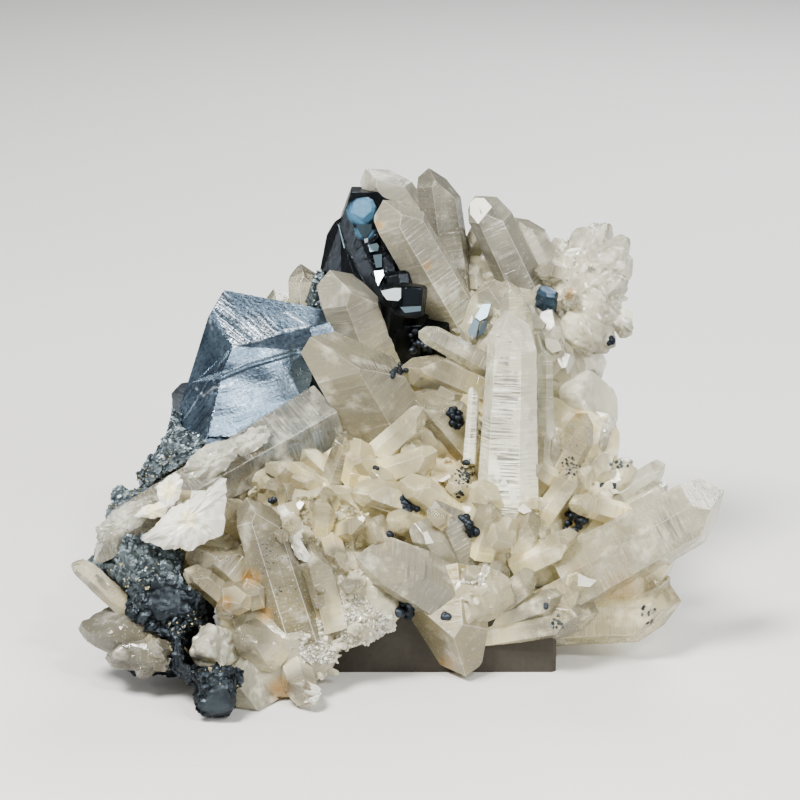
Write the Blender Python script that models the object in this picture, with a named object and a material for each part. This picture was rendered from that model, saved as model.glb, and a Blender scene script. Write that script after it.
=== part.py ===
"""A quartz cluster with bournonite crystals, standing on a small display block.

The crystals are placed as they are seen from the front, from a little above. A point of that view is
given in millimetres across, up and away from the eye, and seen() turns it into a place in metres.
Each crystal is a convex solid cut from a cube by its own crystal faces. Crystals of one mineral that
grow through each other are united, and a mineral leaves a thin clearance to its neighbours.
"""

import math
import random

import bmesh
import bpy
from mathutils import Matrix, Vector
from mathutils.bvhtree import BVHTree

MM = 0.001

# Driving dimensions, in metres
BLOCK_WIDTH = 0.040
BLOCK_DEPTH = 0.040
BLOCK_HEIGHT = 0.014
BLOCK_BEVEL = 0.0006
CLEARANCE = 0.0003
FLOOR_GAP = 0.0004
GROUND_WIDTH = 0.300
GROUND_DEPTH = 0.040

# The front view that places are given in
EYE_ELEVATION = math.radians(18)
EYE_DISTANCE = 0.500
VIEW_MIDDLE = Vector((-0.0073, -0.0053, 0.0453))
ACROSS = Vector((1, 0, 0))
UP = Vector((0, math.sin(EYE_ELEVATION), math.cos(EYE_ELEVATION)))
AWAY = Vector((0, math.cos(EYE_ELEVATION), -math.sin(EYE_ELEVATION)))

# A quartz crystal's point: the angle between its length and the normal of a face, and how far from the
# tip its faces start, in parts of the width. Three faces are large, and three small ones are cut back less.
RHOMB_TILT = math.radians(51.8)
LARGE_FACE_DROP = (0, 0.12)
SMALL_FACE_DROP = (-0.3, -0.1)
UNEVEN_SIDES = (0.94, 1.06)

# Lumps are cut by planes spread evenly around them by the golden angle
GOLDEN_TURN = math.pi * (3 - math.sqrt(5))
LUMP_FACES = 15
LUMP_CUTS = (0.84, 1.0)
# Where this many crystals meet, the exact solver leaves open edges, and the manifold one doesn't
SOLVER = "MANIFOLD"

# Colour, roughness and metallic value of each mineral and of the block
FINISHES = {
    "quartz": ((0.72, 0.68, 0.60), 0.16, 0.0),
    "bournonite": ((0.20, 0.23, 0.26), 0.30, 1.0),
    "sulphide": ((0.17, 0.19, 0.20), 0.45, 0.8),
    "block": ((0.11, 0.10, 0.085), 0.75, 0.0),
}
MATRIX_FACES = 11
BEAD_FACES = 11

# Quartz crystals: root and tip in view millimetres, width in millimetres, roll in degrees.
# At roll 0 a side face looks at the eye, and at roll 30 an edge does.
SPIRES = {
    "tower": dict(root=(18.6, -25.0, 3), tip=(19.8, 15.6, -1), width=11.6, roll=-14, taper=0.30),
    "tower_shadow": dict(root=(22.5, -6.0, 9), tip=(19.6, 21.3, 8), width=7.2, roll=10, taper=0.25),
    "tower_side": dict(root=(25.6, -14.0, 5), tip=(25.4, 8.8, 5), width=3.0, roll=30, taper=0.2),
    "stub": dict(root=(0.0, -8.3, 17), tip=(-12.4, 12.9, 3), width=15.6, roll=30, taper=0.10, chisel=0.5),
    "pointed": dict(root=(-3.6, 3.9, 24), tip=(-11.0, 23.3, 16), width=11.2, roll=22, taper=0.05),
    "back_tip": dict(root=(5.4, 26.0, 34), tip=(-5.0, 41.3, 32), width=9.6, roll=5, taper=0.1, chisel=0.3),
    "upright": dict(root=(9.6, 15.5, 30), tip=(6.2, 40.8, 27), width=8.0, roll=12, taper=0.05),
    "diagonal": dict(root=(10.9, 12.8, 26), tip=(-2.3, 35.4, 17), width=9.4, roll=4, taper=0.05, chisel=0.45),
    "bright_tip": dict(root=(23.2, 16.3, 28), tip=(13.8, 36.0, 20), width=8.4, roll=-8, taper=0.1),
    "behind_bright": dict(root=(28.0, 17.3, 32), tip=(20.6, 32.4, 27), width=7.6, roll=20, taper=0.1),
    "spear": dict(root=(29.0, -32.5, 1), tip=(56.6, -16.4, -1), width=12.6, roll=12, taper=0.42),
    "spear_top": dict(root=(35.0, -18.8, 11), tip=(46.8, -11.6, 8), width=4.8, roll=20, taper=0.1),
    "spear_back": dict(root=(38.0, -20.0, 9), tip=(47.2, -15.2, 8), width=4.0, roll=0, taper=0.1),
    "front_block": dict(root=(10.3, -36.5, 0), tip=(-6.6, -26.4, -12), width=10.4, roll=-10, taper=0.05,
                        chisel=0.5),
    "clear_front": dict(root=(13.1, -32.4, 3), tip=(7.2, -17.4, -5), width=8.0, roll=18, taper=0.1),
    "clear_low": dict(root=(9.6, -30.6, 0), tip=(3.4, -21.4, -8), width=6.4, roll=5, taper=0.1),
    "cream": dict(root=(7.5, -21.5, 5), tip=(-9.0, -15.6, -3), width=8.8, roll=10, taper=0.2),
    "cream_back": dict(root=(10.5, -17.0, 9), tip=(-4.6, -11.4, 3), width=8.4, roll=25, taper=0.2),
    "little_lean": dict(root=(-4.9, -10.4, 7), tip=(4.6, -1.9, 1), width=5.0, roll=10, taper=0.1),
    "taupe": dict(root=(13.0, -9.0, 13), tip=(3.2, 2.2, 8), width=9.0, roll=0, taper=0.1, chisel=0.4),
    "cross": dict(root=(16.0, 5.6, 16), tip=(3.5, 12.5, 11), width=4.4, roll=8, taper=0.1),
    "cross_back": dict(root=(15.0, 0.5, 17), tip=(0.5, 6.9, 11), width=7.4, roll=20, taper=0.1),
    "needle": dict(root=(12.3, -11.0, 5), tip=(13.0, 2.3, 3), width=2.8, roll=12, taper=0.3),
    "bar": dict(root=(-13.4, -2.8, 11), tip=(-54.6, -26.0, -9), width=11.8, roll=28, taper=0.42, chisel=0.4),
    "notch": dict(root=(-13.0, -17.0, 7), tip=(-8.8, -5.6, 2), width=4.6, roll=25, taper=0.1),
    "round_tip": dict(root=(-12.3, -26.0, 4), tip=(-13.2, -17.4, -6), width=7.0, roll=12, taper=0.05),
    "leaning": dict(root=(-17.4, -43.0, -11), tip=(-25.7, -16.6, -11), width=9.6, roll=12, taper=0.1),
    "leaning_blade": dict(root=(-16.4, -28.6, -11), tip=(-21.6, -18.4, -11), width=2.8, roll=20, taper=0.2,
                          flat=0.5),
    "pale": dict(root=(-11.6, -40.0, -8), tip=(-15.4, -24.6, -10), width=7.8, roll=10, taper=0.1),
    "tan": dict(root=(-24.4, -34.3, -4), tip=(-35.9, -24.0, -9), width=9.0, roll=20, taper=0.05,
                chisel=0.4),
    "tan_low": dict(root=(-28.6, -36.6, -8), tip=(-37.3, -29.2, -12), width=4.8, roll=0, taper=0.05),
    "tan_right": dict(root=(-23.0, -36.0, -7), tip=(-31.0, -32.2, -12), width=5.0, roll=15, taper=0.05),
    "tan_top": dict(root=(-24.6, -27.0, -1), tip=(-30.2, -16.8, -5), width=7.2, roll=25, taper=0.1),
    "left_point": dict(root=(-46.0, -38.0, -7), tip=(-57.4, -27.7, -8), width=4.2, roll=10, taper=0.1),
    "left_lobe": dict(root=(-42.0, -42.6, -8), tip=(-55.8, -36.6, -9), width=11.4, roll=5, taper=0.1,
                      chisel=0.5),
    "left_foot": dict(root=(-40.0, -44.6, -13), tip=(-52.0, -44.4, -12), width=6.0, roll=20, taper=0.1),
    "left_toe": dict(root=(-42.0, -42.0, -13), tip=(-46.4, -48.8, -13), width=5.0, roll=0, taper=0.1),
    "left_heel": dict(root=(-38.0, -43.0, -13), tip=(-41.8, -47.0, -14), width=4.6, roll=10, taper=0.1),
    "pale_block": dict(root=(24.0, 0.4, 19), tip=(39.0, 1.0, 13), width=9.8, roll=5, taper=0.05, chisel=0.8),
    "pale_step": dict(root=(31.0, -13.0, 16), tip=(39.2, -4.6, 10), width=7.6, roll=15, taper=0.0,
                      chisel=0.6),
    "pale_corner": dict(root=(29.0, -19.0, 12), tip=(41.6, -11.0, 11), width=6.0, roll=15, taper=0.1),
    "fan_a": dict(root=(29.8, 18.3, 30), tip=(37.2, 31.5, 30), width=7.0, roll=5, taper=0.0),
    "fan_b": dict(root=(30.6, 18.6, 27), tip=(41.0, 28.2, 24), width=7.2, roll=20, taper=0.0),
    "fan_c": dict(root=(29.6, 17.5, 25), tip=(40.6, 20.2, 22), width=7.0, roll=10, taper=0.0),
    "fan_d": dict(root=(30.5, 16.0, 23), tip=(40.2, 13.6, 20), width=6.4, roll=0, taper=0.0),
    "fan_e": dict(root=(28.6, 13.3, 22), tip=(37.8, 8.6, 18), width=7.0, roll=15, taper=0.0),
    "fan_f": dict(root=(28.9, 19.3, 32), tip=(28.6, 29.2, 30), width=7.2, roll=0, taper=0.0, chisel=0.4),
    "fan_g": dict(root=(30.6, 17.3, 31), tip=(33.4, 30.6, 31), width=6.8, roll=25, taper=0.0),
    "low_right": dict(root=(33.0, -35.0, 5), tip=(48.8, -28.0, 4), width=6.0, roll=15, taper=0.0),
    "low_corner": dict(root=(31.0, -39.0, 4), tip=(49.0, -35.6, 3), width=10.4, roll=12, taper=0.05),
    "far_a": dict(root=(-15.0, -1.0, 37), tip=(-16.6, 23.9, 33), width=7.0, roll=10, taper=0.0),
    "far_b": dict(root=(-15.6, 0.0, 36), tip=(-21.8, 19.6, 34), width=6.4, roll=0, taper=0.0),
    "down_left": dict(root=(-25.4, -44.5, -12), tip=(-28.4, -56.0, -21), width=6.4, roll=10, taper=0.1),
    "down_mid": dict(root=(-23.5, -45.5, -12), tip=(-21.8, -56.2, -21), width=8.0, roll=20, taper=0.05),
    "down_right": dict(root=(-19.0, -45.0, -11), tip=(-16.4, -53.4, -18), width=6.4, roll=5, taper=0.1),
    "foot_block": dict(root=(7.4, -33.0, -1), tip=(9.2, -48.3, -6), width=14.0, roll=20, taper=0.25, chisel=0.3),
}

# Massive quartz that the crystals grow from, as rough convex lumps: middle and half sizes
LUMPS = {
    "heart": ((17.5, -26.0, 7), (15, 12, 10)),
    "heart_left": ((3.0, -20.0, 9), (14, 12, 10)),
    "right_bank": ((24.4, -12.3, 16), (13, 15, 12)),
    "middle_bank": ((7.0, -5.0, 20), (15, 13, 11)),
    "upper_bank": ((20.0, 8.0, 26), (14, 14, 10)),
    "top_bank": ((10.0, 18.5, 35), (13, 11, 8)),
    "fan_heart": ((32.0, 18.0, 29), (8, 9.5, 9)),
    "left_bank": ((-15.0, -26.0, 1), (12, 13, 9)),
    "saddle": ((-13.0, -10.0, 16), (12, 11, 9)),
    "left_low": ((-21.5, -42.5, -10), (10, 9, 8)),
    "left_chunk": ((-25.4, -46.0, -14), (8, 7, 6)),
    "white_cube": ((-33.2, -43.0, -17), (4.8, 4.4, 5)),
    "petals": ((-36.8, -20.0, -5), (6.5, 5.2, 4)),
    "tan_bank": ((-33.0, -28.5, -2), (8.0, 8.0, 6)),
    "saddle_low": ((-23.0, -15.0, 7), (9.0, 8.0, 8)),
    "right_low": ((35.0, -29.0, 9), (10, 11, 10)),
    "corner_low": ((39.0, -37.0, 3), (10, 4.8, 8)),
    "foot": ((7.2, -41.0, -6), (6.6, 7.2, 4.6)),
    "apron": ((-8.5, -35.0, -7), (8.5, 9, 5)),
    "apron_right": ((22.0, -37.6, -3), (9, 5.4, 6)),
    "apron_middle": ((13.5, -34.0, -5), (7, 5.5, 5)),
    "back_low": ((2.0, -13.0, 30), (13, 12, 11)),
    "back_right": ((19.0, -15.0, 28), (12, 13, 12)),
    "back_high": ((11.0, -2.0, 37), (13, 11, 9)),
    "back_left": ((-13.0, -8.0, 32), (12, 11, 10)),
}


# The large bournonite crystal: corners in view millimetres, and its blocks. Each block is given by a
# point inside it and by its faces, which run through three points each.
BACK_LEFT = (-30.8, 19.4, 22)
BACK_RIGHT = (-13.5, 16.0, 20)
FRONT_EDGE = (-29.4, 9.6, 7)
RIGHT_EDGE = (-15.6, 12.8, 14.6)
LEFT_CORNER = (-33.6, 14.6, 14)
LEDGE_LEFT = (-36.2, 3.4, 10)
LEDGE_FRONT = (-31.0, 5.3, 5.0)
LEDGE_RIGHT = (-26.3, 6.0, 7.0)
STEP_LEFT = (-36.0, 0.4, 9)
STEP_FRONT = (-31.4, 1.8, 4.0)
STEP_RIGHT = (-26.6, 2.6, 6.0)
UNDER = ((-30, -9.5, 10), (-20, -9.5, 10), (-30, -9.5, 20))
BEHIND = (BACK_LEFT, BACK_RIGHT, (-28.0, -5.0, 27))
LEFT_SIDE = ((-36.4, 3.4, 10), (-36.0, 3.4, 25), (-34.8, -5.5, 10))
RIGHT_END = ((-11.5, 10, 10), (-11.5, 10, 25), (-12.5, -5, 12))
BLOCK_REACH = 0.030
LARGE_BLOCKS = (
    (
        (-25.0, 4.0, 17),
        (BACK_LEFT, BACK_RIGHT, FRONT_EDGE),
        (LEFT_CORNER, FRONT_EDGE, (-31.6, 5.0, 6.6)),
        (BACK_LEFT, LEFT_CORNER, (-36.0, 3.0, 17)),
        (FRONT_EDGE, RIGHT_EDGE, (-28.8, -5.0, 5.2)),
        RIGHT_END, BEHIND, UNDER,
    ),
    (
        (-27.0, -4.0, 14),
        (LEDGE_LEFT, LEDGE_FRONT, LEDGE_RIGHT),
        (LEDGE_LEFT, LEDGE_FRONT, (-34.2, -5.5, 11)),
        (LEDGE_FRONT, LEDGE_RIGHT, (-30.5, -5.5, 3.8)),
        ((-20, 5, 10), (-20, 5, 20), (-19, -5, 10)), LEFT_SIDE, BEHIND, UNDER,
    ),
    (
        (-27.0, -6.0, 14),
        (STEP_LEFT, STEP_FRONT, STEP_RIGHT),
        (STEP_LEFT, STEP_FRONT, (-34.6, -6.5, 11)),
        (STEP_FRONT, STEP_RIGHT, (-31.0, -6.5, 3.0)),
        ((-18, 5, 10), (-18, 5, 20), (-17, -5, 10)), LEFT_SIDE, BEHIND, UNDER,
    ),
)

# The cogwheel bournonite: corners in view millimetres, and its two upright blocks
APEX = (-8.6, 36.2, 26)
EDGE_HIGH = (-9.5, 33.6, 25)
EDGE_LOW = (-3.6, 19.8, 19)
RIDGE_HIGH = (-11.2, 31.4, 26.6)
RIDGE_LOW = (-9.3, 25.6, 23.4)
OUTLINE_HIGH = (-12.9, 28.6, 28)
OUTLINE_LOW = (-14.2, 21.6, 30)
COG_BEHIND = ((-10, 26, 37), (0, 26, 37), (-5, 35, 36))
COG_UNDER = ((-10, 15, 20), (0, 15, 20), (-5, 15, 35))
COGWHEEL_BLOCKS = (
    (
        (-6.0, 28.0, 29),
        (EDGE_HIGH, EDGE_LOW, (-10.5, 21.0, 24.5)),
        (EDGE_HIGH, EDGE_LOW, (0.0, 31.0, 27)),
        (APEX, EDGE_HIGH, (-9.8, 33.4, 32)),
        (APEX, (-3.4, 36.4, 29), (-3.0, 37.0, 34)),
        ((-7.4, 36.2, 25.6), (-3.0, 35.2, 26.4), (-4.0, 37.0, 30)),
        ((2.5, 20, 20), (2.5, 20, 35), (1.0, 35, 25)),
        COG_BEHIND, COG_UNDER,
    ),
    (
        (-9.0, 25.0, 30),
        (RIDGE_HIGH, RIDGE_LOW, (-6.0, 25.0, 24.0)),
        (RIDGE_HIGH, RIDGE_LOW, OUTLINE_LOW),
        (RIDGE_HIGH, (-8.0, 33.4, 30), (-11.2, 31.2, 34)),
        (RIDGE_HIGH, OUTLINE_HIGH, (-11.8, 30.6, 34)),
        (OUTLINE_HIGH, OUTLINE_LOW, (-13.4, 25.0, 36)),
        ((-4, 20, 20), (-4, 20, 35), (-4, 35, 25)),
        COG_BEHIND, COG_UNDER,
    ),
)

# How unevenly a tabular crystal's sides and the bevels of its rim are cut
COG_CUTS = (0.88, 1.04)
RIM_CUTS = (0.6, 1.3)
HALF_CORNER = math.radians(45)

# Tabular bournonite crystals around it: the middles of their two ends, and their width
COGS = {
    "scallop": dict(root=(-6.0, 32.2, 28.5), tip=(-6.9, 33.4, 24.6), width=5.4, sides=10, rim=0.16),
    "tooth_high": dict(root=(-3.4, 25.0, 27), tip=(-5.4, 28.6, 23.2), width=3.6, sides=6, roll=10, rim=0),
    "tooth_middle": dict(root=(-3.0, 22.0, 25), tip=(-4.6, 25.8, 22.0), width=3.8, sides=6, roll=25, rim=0),
    "tooth_low": dict(root=(-2.4, 19.0, 24), tip=(-3.2, 22.6, 20.2), width=3.6, sides=6, rim=0),
    "cog_right": dict(root=(-1.2, 17.0, 22), tip=(-2.4, 25.4, 23), width=5.4, roll=5),
    "cog_step": dict(root=(0.2, 16.0, 20), tip=(-0.6, 22.4, 20.5), width=5.2, roll=25),
    "foot_block": dict(root=(1.4, 14.6, 16), tip=(2.0, 20.2, 15), width=5.4, sides=6, roll=12, rim=0.08),
    "foot_facet": dict(root=(-1.2, 16.6, 15), tip=(-1.5, 19.9, 12.6), width=3.6, sides=6, roll=20),
    "foot_low": dict(root=(-1.0, 12.0, 20), tip=(-0.6, 17.0, 16), width=5.0, sides=6, roll=5, rim=0),
    "cavity_left": dict(root=(0.5, 6.0, 25), tip=(1.0, 14.6, 20), width=8.0, sides=6, roll=15, rim=0),
    "cavity_right": dict(root=(5.5, 7.0, 26), tip=(5.0, 13.6, 22), width=7.0, sides=6, rim=0),
}
SMALL_COGS = {
    "bournonite_small_left": dict(root=(-36.6, -4.0, 17), tip=(-37.0, 2.8, 15), width=5.8, sides=6, roll=20,
                                  rim=0.25),
    "bournonite_small_right": dict(root=(25.4, 14.6, 20), tip=(25.8, 19.2, 17), width=3.6, sides=6, roll=10,
                                   rim=0.15),
}

# Round bournonite beads on the quartz: across and up in the front view, and the bead's half size
BEADS = {
    "beads_upper": ((2.6, 11.4, 1.2), (3.8, 9.8, 1.4), (2.2, 9.2, 1.1), (4.6, 8.6, 1.0)),
    "beads_middle": ((9.2, -2.2, 0.8), (9.9, -2.8, 1.1), (10.0, -4.0, 1.0)),
    "beads_centre": ((0.8, -17.7, 1.0), (0.9, -19.0, 1.0), (2.0, -19.2, 1.0), (2.9, -19.5, 0.7)),
    "beads_right": ((30.1, -19.8, 1.0), (31.0, -20.8, 1.3), (30.1, -22.4, 1.2), (31.8, -21.8, 1.1)),
    "beads_lower": ((11.2, -20.9, 0.8), (11.9, -22.0, 0.9), (12.5, -23.1, 0.8)),
}

# Patches of small quartz crystals in the front view: left, right, low, high, how many, length and width
SPROUT_PATCHES = {
    "druse_middle": (-24, -3, -27, -11, 8, 4.5, 3.4),
    "druse_right": (22, 38, -34, -8, 8, 4.5, 3.4),
    "druse_apron": (-17, -4, -43, -29, 6, 3.0, 2.2),
    "druse_centre": (-2, 18, -32, -20, 4, 3.5, 3.0),
    "druse_fan": (27, 40, 8, 30, 5, 4.0, 3.4),
    "druse_left": (-44, -26, -50, -38, 4, 3.0, 3.0),
}
SPROUT_LEAN = 0.45
SPROUT_RISE = (-0.6, 1.2)
SPROUT_SIZES = (0.7, 1.3)
SPROUT_DEPTH = 0.5
LOWEST_SPROUT = 0.004

# Quartz crystals around the back: how many, length and width, and between which turns from the right side
BACK_PATCHES = {
    "back_tall": (8, 13.0, 7.4, 28, 165),
    "back_short": (9, 7.0, 4.6, 30, 160),
}
BACK_RISE = (-12, 40)
BACK_AIM = Vector((0.004, 0.014, 0.040))
BACK_SPREAD = 0.014
BACK_START = 0.016
BEAD_RISE = 0.35

# The metallic mass that the bournonite grows from, as rough lumps: middle and half sizes
MATRIX_LUMPS = {
    "dark_mass": ((-40.5, -38.5, -7), (8.5, 9.0, 8)),
    "dark_toe": ((-31.6, -50.2, -19), (4.6, 4.8, 5)),
    "dark_heel": ((-36.0, -45.0, -14), (5.0, 5.0, 5)),
    "crust_low": ((-44.5, -29.0, -4), (8.5, 7.0, 6)),
    "crust_left": ((-45.5, -22.0, 2), (6.5, 5.6, 7)),
    "crust_middle": ((-37.8, -12.8, 7), (5.0, 8.0, 8)),
    "crust_top": ((-36.0, -10.2, 12), (6.6, 7.4, 8)),
    "crust_bridge": ((-41.4, -14.8, 5), (4.6, 4.6, 6)),
    "under_large": ((-25.0, -5.0, 18), (11.0, 8.0, 9)),
    "behind_large": ((-22.0, 3.0, 30), (12.0, 13.0, 9)),
    "under_cogwheel": ((-5.5, 12.0, 32), (12.0, 12.0, 9)),
    "grains": ((-19.0, 3.6, 13), (4.0, 6.0, 5)),
    "back_of_left": ((-30.0, -18.0, 18), (12.0, 11.0, 11)),
    "behind_low": ((-29.0, -9.0, 27), (9.0, 9.0, 7)),
}


def seen(across, up, away):
    """The place of a point of the front view, which is given in millimetres."""
    spread = MM * (1 + away * MM / EYE_DISTANCE)
    return VIEW_MIDDLE + ACROSS * across * spread + UP * up * spread + AWAY * away * MM


def cut_from_cube(planes, middle, reach):
    """The convex solid left of a cube when each plane, a place and a normal, cuts off what is beyond it."""
    solid = bmesh.new()
    bmesh.ops.create_cube(solid, size=2 * reach, matrix=Matrix.Translation(middle))
    for place, normal in planes:
        everything = solid.verts[:] + solid.edges[:] + solid.faces[:]
        bmesh.ops.bisect_plane(solid, geom=everything, dist=1e-7, plane_co=place, plane_no=normal,
                               clear_outer=True)
        rim = [edge for edge in solid.edges if edge.is_boundary]
        if rim:
            bmesh.ops.edgeloop_fill(solid, edges=rim)
    bmesh.ops.recalc_face_normals(solid, faces=solid.faces)
    return solid


def spire(name, root, tip, width, roll=0, taper=0.1, flat=1.0, chisel=0.25, grow=0.0):
    """A quartz crystal: six long faces and a six-faced point, with the unequal faces of a real one."""
    chance = random.Random(name)
    length = (tip - root).length
    axis = (tip - root) / length
    front = (-AWAY + axis * AWAY.dot(axis)).normalized()
    side = axis.cross(front)
    turns = [math.radians(roll + 60 * face) for face in range(6)]
    widest = max(abs(math.sin(turn + math.radians(30))) for turn in turns)
    reach_to_face = width * MM / 2 / widest * math.cos(math.radians(30))
    sides = []
    point = []
    for face, turn in enumerate(turns):
        outward = front * math.cos(turn) + side * math.sin(turn)
        distance = reach_to_face * chance.uniform(*UNEVEN_SIDES)
        distance *= flat if face in (0, 3) else 1
        slope = (outward + axis * distance * taper / length).normalized()
        sides.append((root + outward * distance + slope * grow, slope))
        rhomb = axis * math.cos(RHOMB_TILT) + outward * math.sin(RHOMB_TILT)
        drop = chance.uniform(*(LARGE_FACE_DROP if face % 2 else SMALL_FACE_DROP))
        drop += chisel if face == 1 else 0
        point.append((drop * width * MM, rhomb))
    base = [(root - axis * grow, -axis)]

    def cut_with_point(raised):
        faces = [(tip + axis * (raised - drop) + rhomb * grow, rhomb) for drop, rhomb in point]
        return cut_from_cube(base + sides + faces, (root + tip) / 2, length * 1.5 + width * MM)

    # A first cut shows how far the lowered faces shorten the crystal, and the second makes up for it.
    trial = cut_with_point(0.0)
    reached = max((vert.co - root).dot(axis) for vert in trial.verts)
    trial.free()
    return cut_with_point(length + grow - reached)


def lump(name, middle, sizes, faces=LUMP_FACES, grow=0.0):
    """A rough convex lump: planes that touch an ellipsoid, spread evenly with a little chance."""
    chance = random.Random(name)
    across, up, away = (size * MM for size in sizes)
    planes = []
    for number in range(faces):
        height = 1 - 2 * (number + 0.5) / faces
        ring = math.sqrt(1 - height * height)
        turn = number * GOLDEN_TURN + chance.uniform(-0.5, 0.5)
        height += chance.uniform(-0.1, 0.1)
        normal = Vector((ring * math.cos(turn), height, ring * math.sin(turn))).normalized()
        reach = math.sqrt((normal.x * across) ** 2 + (normal.y * up) ** 2 + (normal.z * away) ** 2)
        outward = ACROSS * normal.x + UP * normal.y + AWAY * normal.z
        planes.append((middle + outward * (reach * chance.uniform(*LUMP_CUTS) + grow), outward))
    return cut_from_cube(planes, middle, 2 * max(across, up, away))


def crystal_block(inside, faces, grow=0.0):
    """A convex crystal whose faces each run through three points of the front view."""
    middle = seen(*inside)
    planes = []
    for corners in faces:
        first, second, third = (seen(*corner) for corner in corners)
        outward = (second - first).cross(third - first).normalized()
        if outward.dot(first - middle) < 0:
            outward = -outward
        planes.append((first + outward * grow, outward))
    return cut_from_cube(planes, middle, BLOCK_REACH)


def cog(name, root, tip, width, sides=8, roll=0, rim=0.16, grow=0.0):
    """A tabular crystal: an uneven prism whose flat ends have a bevelled rim."""
    chance = random.Random(name)
    root = seen(*root)
    tip = seen(*tip)
    axis = (tip - root).normalized()
    front = (-AWAY + axis * AWAY.dot(axis)).normalized()
    side = axis.cross(front)
    planes = [(root - axis * grow, -axis), (tip + axis * grow, axis)]
    for number in range(sides):
        turn = math.radians(roll + 360 / sides * number)
        outward = front * math.cos(turn) + side * math.sin(turn)
        distance = width * MM / 2 * chance.uniform(*COG_CUTS)
        planes.append(((root + tip) / 2 + outward * (distance + grow), outward))
        for end, way in ((root, -axis), (tip, axis)) if rim else ():
            slope = (outward + way).normalized()
            cut = rim * width * MM * chance.uniform(*RIM_CUTS) * math.sin(HALF_CORNER)
            planes.append((end + outward * distance + slope * (grow - cut), slope))
    return cut_from_cube(planes, (root + tip) / 2, width * MM + (tip - root).length)


def as_object(name, solid):
    """Turn a bmesh into an object of the scene."""
    mesh = bpy.data.meshes.new(name)
    solid.to_mesh(mesh)
    solid.free()
    thing = bpy.data.objects.new(name, mesh)
    bpy.context.scene.collection.objects.link(thing)
    return thing


def finish(kind):
    """The material of a mineral or of the block, made once."""
    if kind in bpy.data.materials:
        return bpy.data.materials[kind]
    colour, roughness, metallic = FINISHES[kind]
    material = bpy.data.materials.new(kind)
    material.use_nodes = True
    shader = material.node_tree.nodes["Principled BSDF"]
    shader.inputs["Base Color"].default_value = (*colour, 1.0)
    shader.inputs["Roughness"].default_value = roughness
    shader.inputs["Metallic"].default_value = metallic
    return material


def remove(thing):
    """Take an object and its mesh out of the file."""
    mesh = thing.data
    bpy.data.objects.remove(thing, do_unlink=True)
    if mesh and mesh.users == 0:
        bpy.data.meshes.remove(mesh)


def applied(thing):
    """Replace an object's mesh with what its modifiers make of it."""
    bpy.context.view_layer.update()
    graph = bpy.context.evaluated_depsgraph_get()
    mesh = bpy.data.meshes.new_from_object(thing.evaluated_get(graph))
    thing.modifiers.clear()
    old = thing.data
    thing.data = mesh
    bpy.data.meshes.remove(old)
    return thing


def united(name, solids):
    """One object from solids that grow through each other."""
    first = as_object(name, solids[0])
    if len(solids) == 1:
        return first
    group = bpy.data.collections.new(name + "_parts")
    bpy.context.scene.collection.children.link(group)
    for number, solid in enumerate(solids[1:]):
        part = as_object(f"{name}_part_{number}", solid)
        bpy.context.scene.collection.objects.unlink(part)
        group.objects.link(part)
    union = first.modifiers.new("union", "BOOLEAN")
    union.operation = "UNION"
    union.solver = SOLVER
    union.operand_type = "COLLECTION"
    union.collection = group
    applied(first)
    for part in list(group.objects):
        remove(part)
    bpy.data.collections.remove(group)
    return first


def cut_away(thing, cutters):
    """Take the cutters' space out of an object."""
    for cutter in cutters:
        cut = thing.modifiers.new("cut", "BOOLEAN")
        cut.operation = "DIFFERENCE"
        cut.solver = SOLVER
        cut.object = cutter
    return applied(thing)


def keep_largest_body(thing):
    """Delete what a cut has left loose beside an object's main body."""
    solid = bmesh.new()
    solid.from_mesh(thing.data)
    unseen = set(solid.verts)
    bodies = []
    while unseen:
        body = set()
        edge_of_body = [unseen.pop()]
        while edge_of_body:
            vert = edge_of_body.pop()
            body.add(vert)
            for edge in vert.link_edges:
                other = edge.other_vert(vert)
                if other in unseen:
                    unseen.remove(other)
                    edge_of_body.append(other)
        bodies.append(body)
    bodies.sort(key=len, reverse=True)
    loose = [vert for body in bodies[1:] for vert in body]
    bmesh.ops.delete(solid, geom=loose, context="VERTS")
    solid.to_mesh(thing.data)
    solid.free()
    return thing


def remove_everything():
    """Empty the scene that the script starts in."""
    for thing in list(bpy.data.objects):
        bpy.data.objects.remove(thing, do_unlink=True)


def quartz_solids(grow=0.0):
    """The named quartz crystals and the massive quartz between them."""
    solids = [lump(name, seen(*middle), sizes, grow=grow) for name, (middle, sizes) in LUMPS.items()]
    for name, shape in SPIRES.items():
        shape = dict(shape, root=seen(*shape["root"]), tip=seen(*shape["tip"]))
        solids.append(spire(name, grow=grow, **shape))
    return solids


def tree_of(*things):
    """A search tree of the surfaces of some objects."""
    solid = bmesh.new()
    for thing in things:
        solid.from_mesh(thing.data)
    tree = BVHTree.FromBMesh(solid)
    solid.free()
    return tree


def grown_at(chance, place, normal, length, width):
    """A small crystal that grows out of a surface, leaning a little to one side and upwards."""
    lean = Vector((chance.uniform(-1, 1), chance.uniform(-1, 1), chance.uniform(*SPROUT_RISE)))
    way = (normal + lean * SPROUT_LEAN).normalized()
    size = chance.uniform(*SPROUT_SIZES)
    root = place - way * width * MM * SPROUT_DEPTH
    return dict(root=root, tip=place + way * length * size * MM, width=width * size,
                roll=chance.uniform(0, 60), taper=chance.uniform(0, 0.15))


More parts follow.
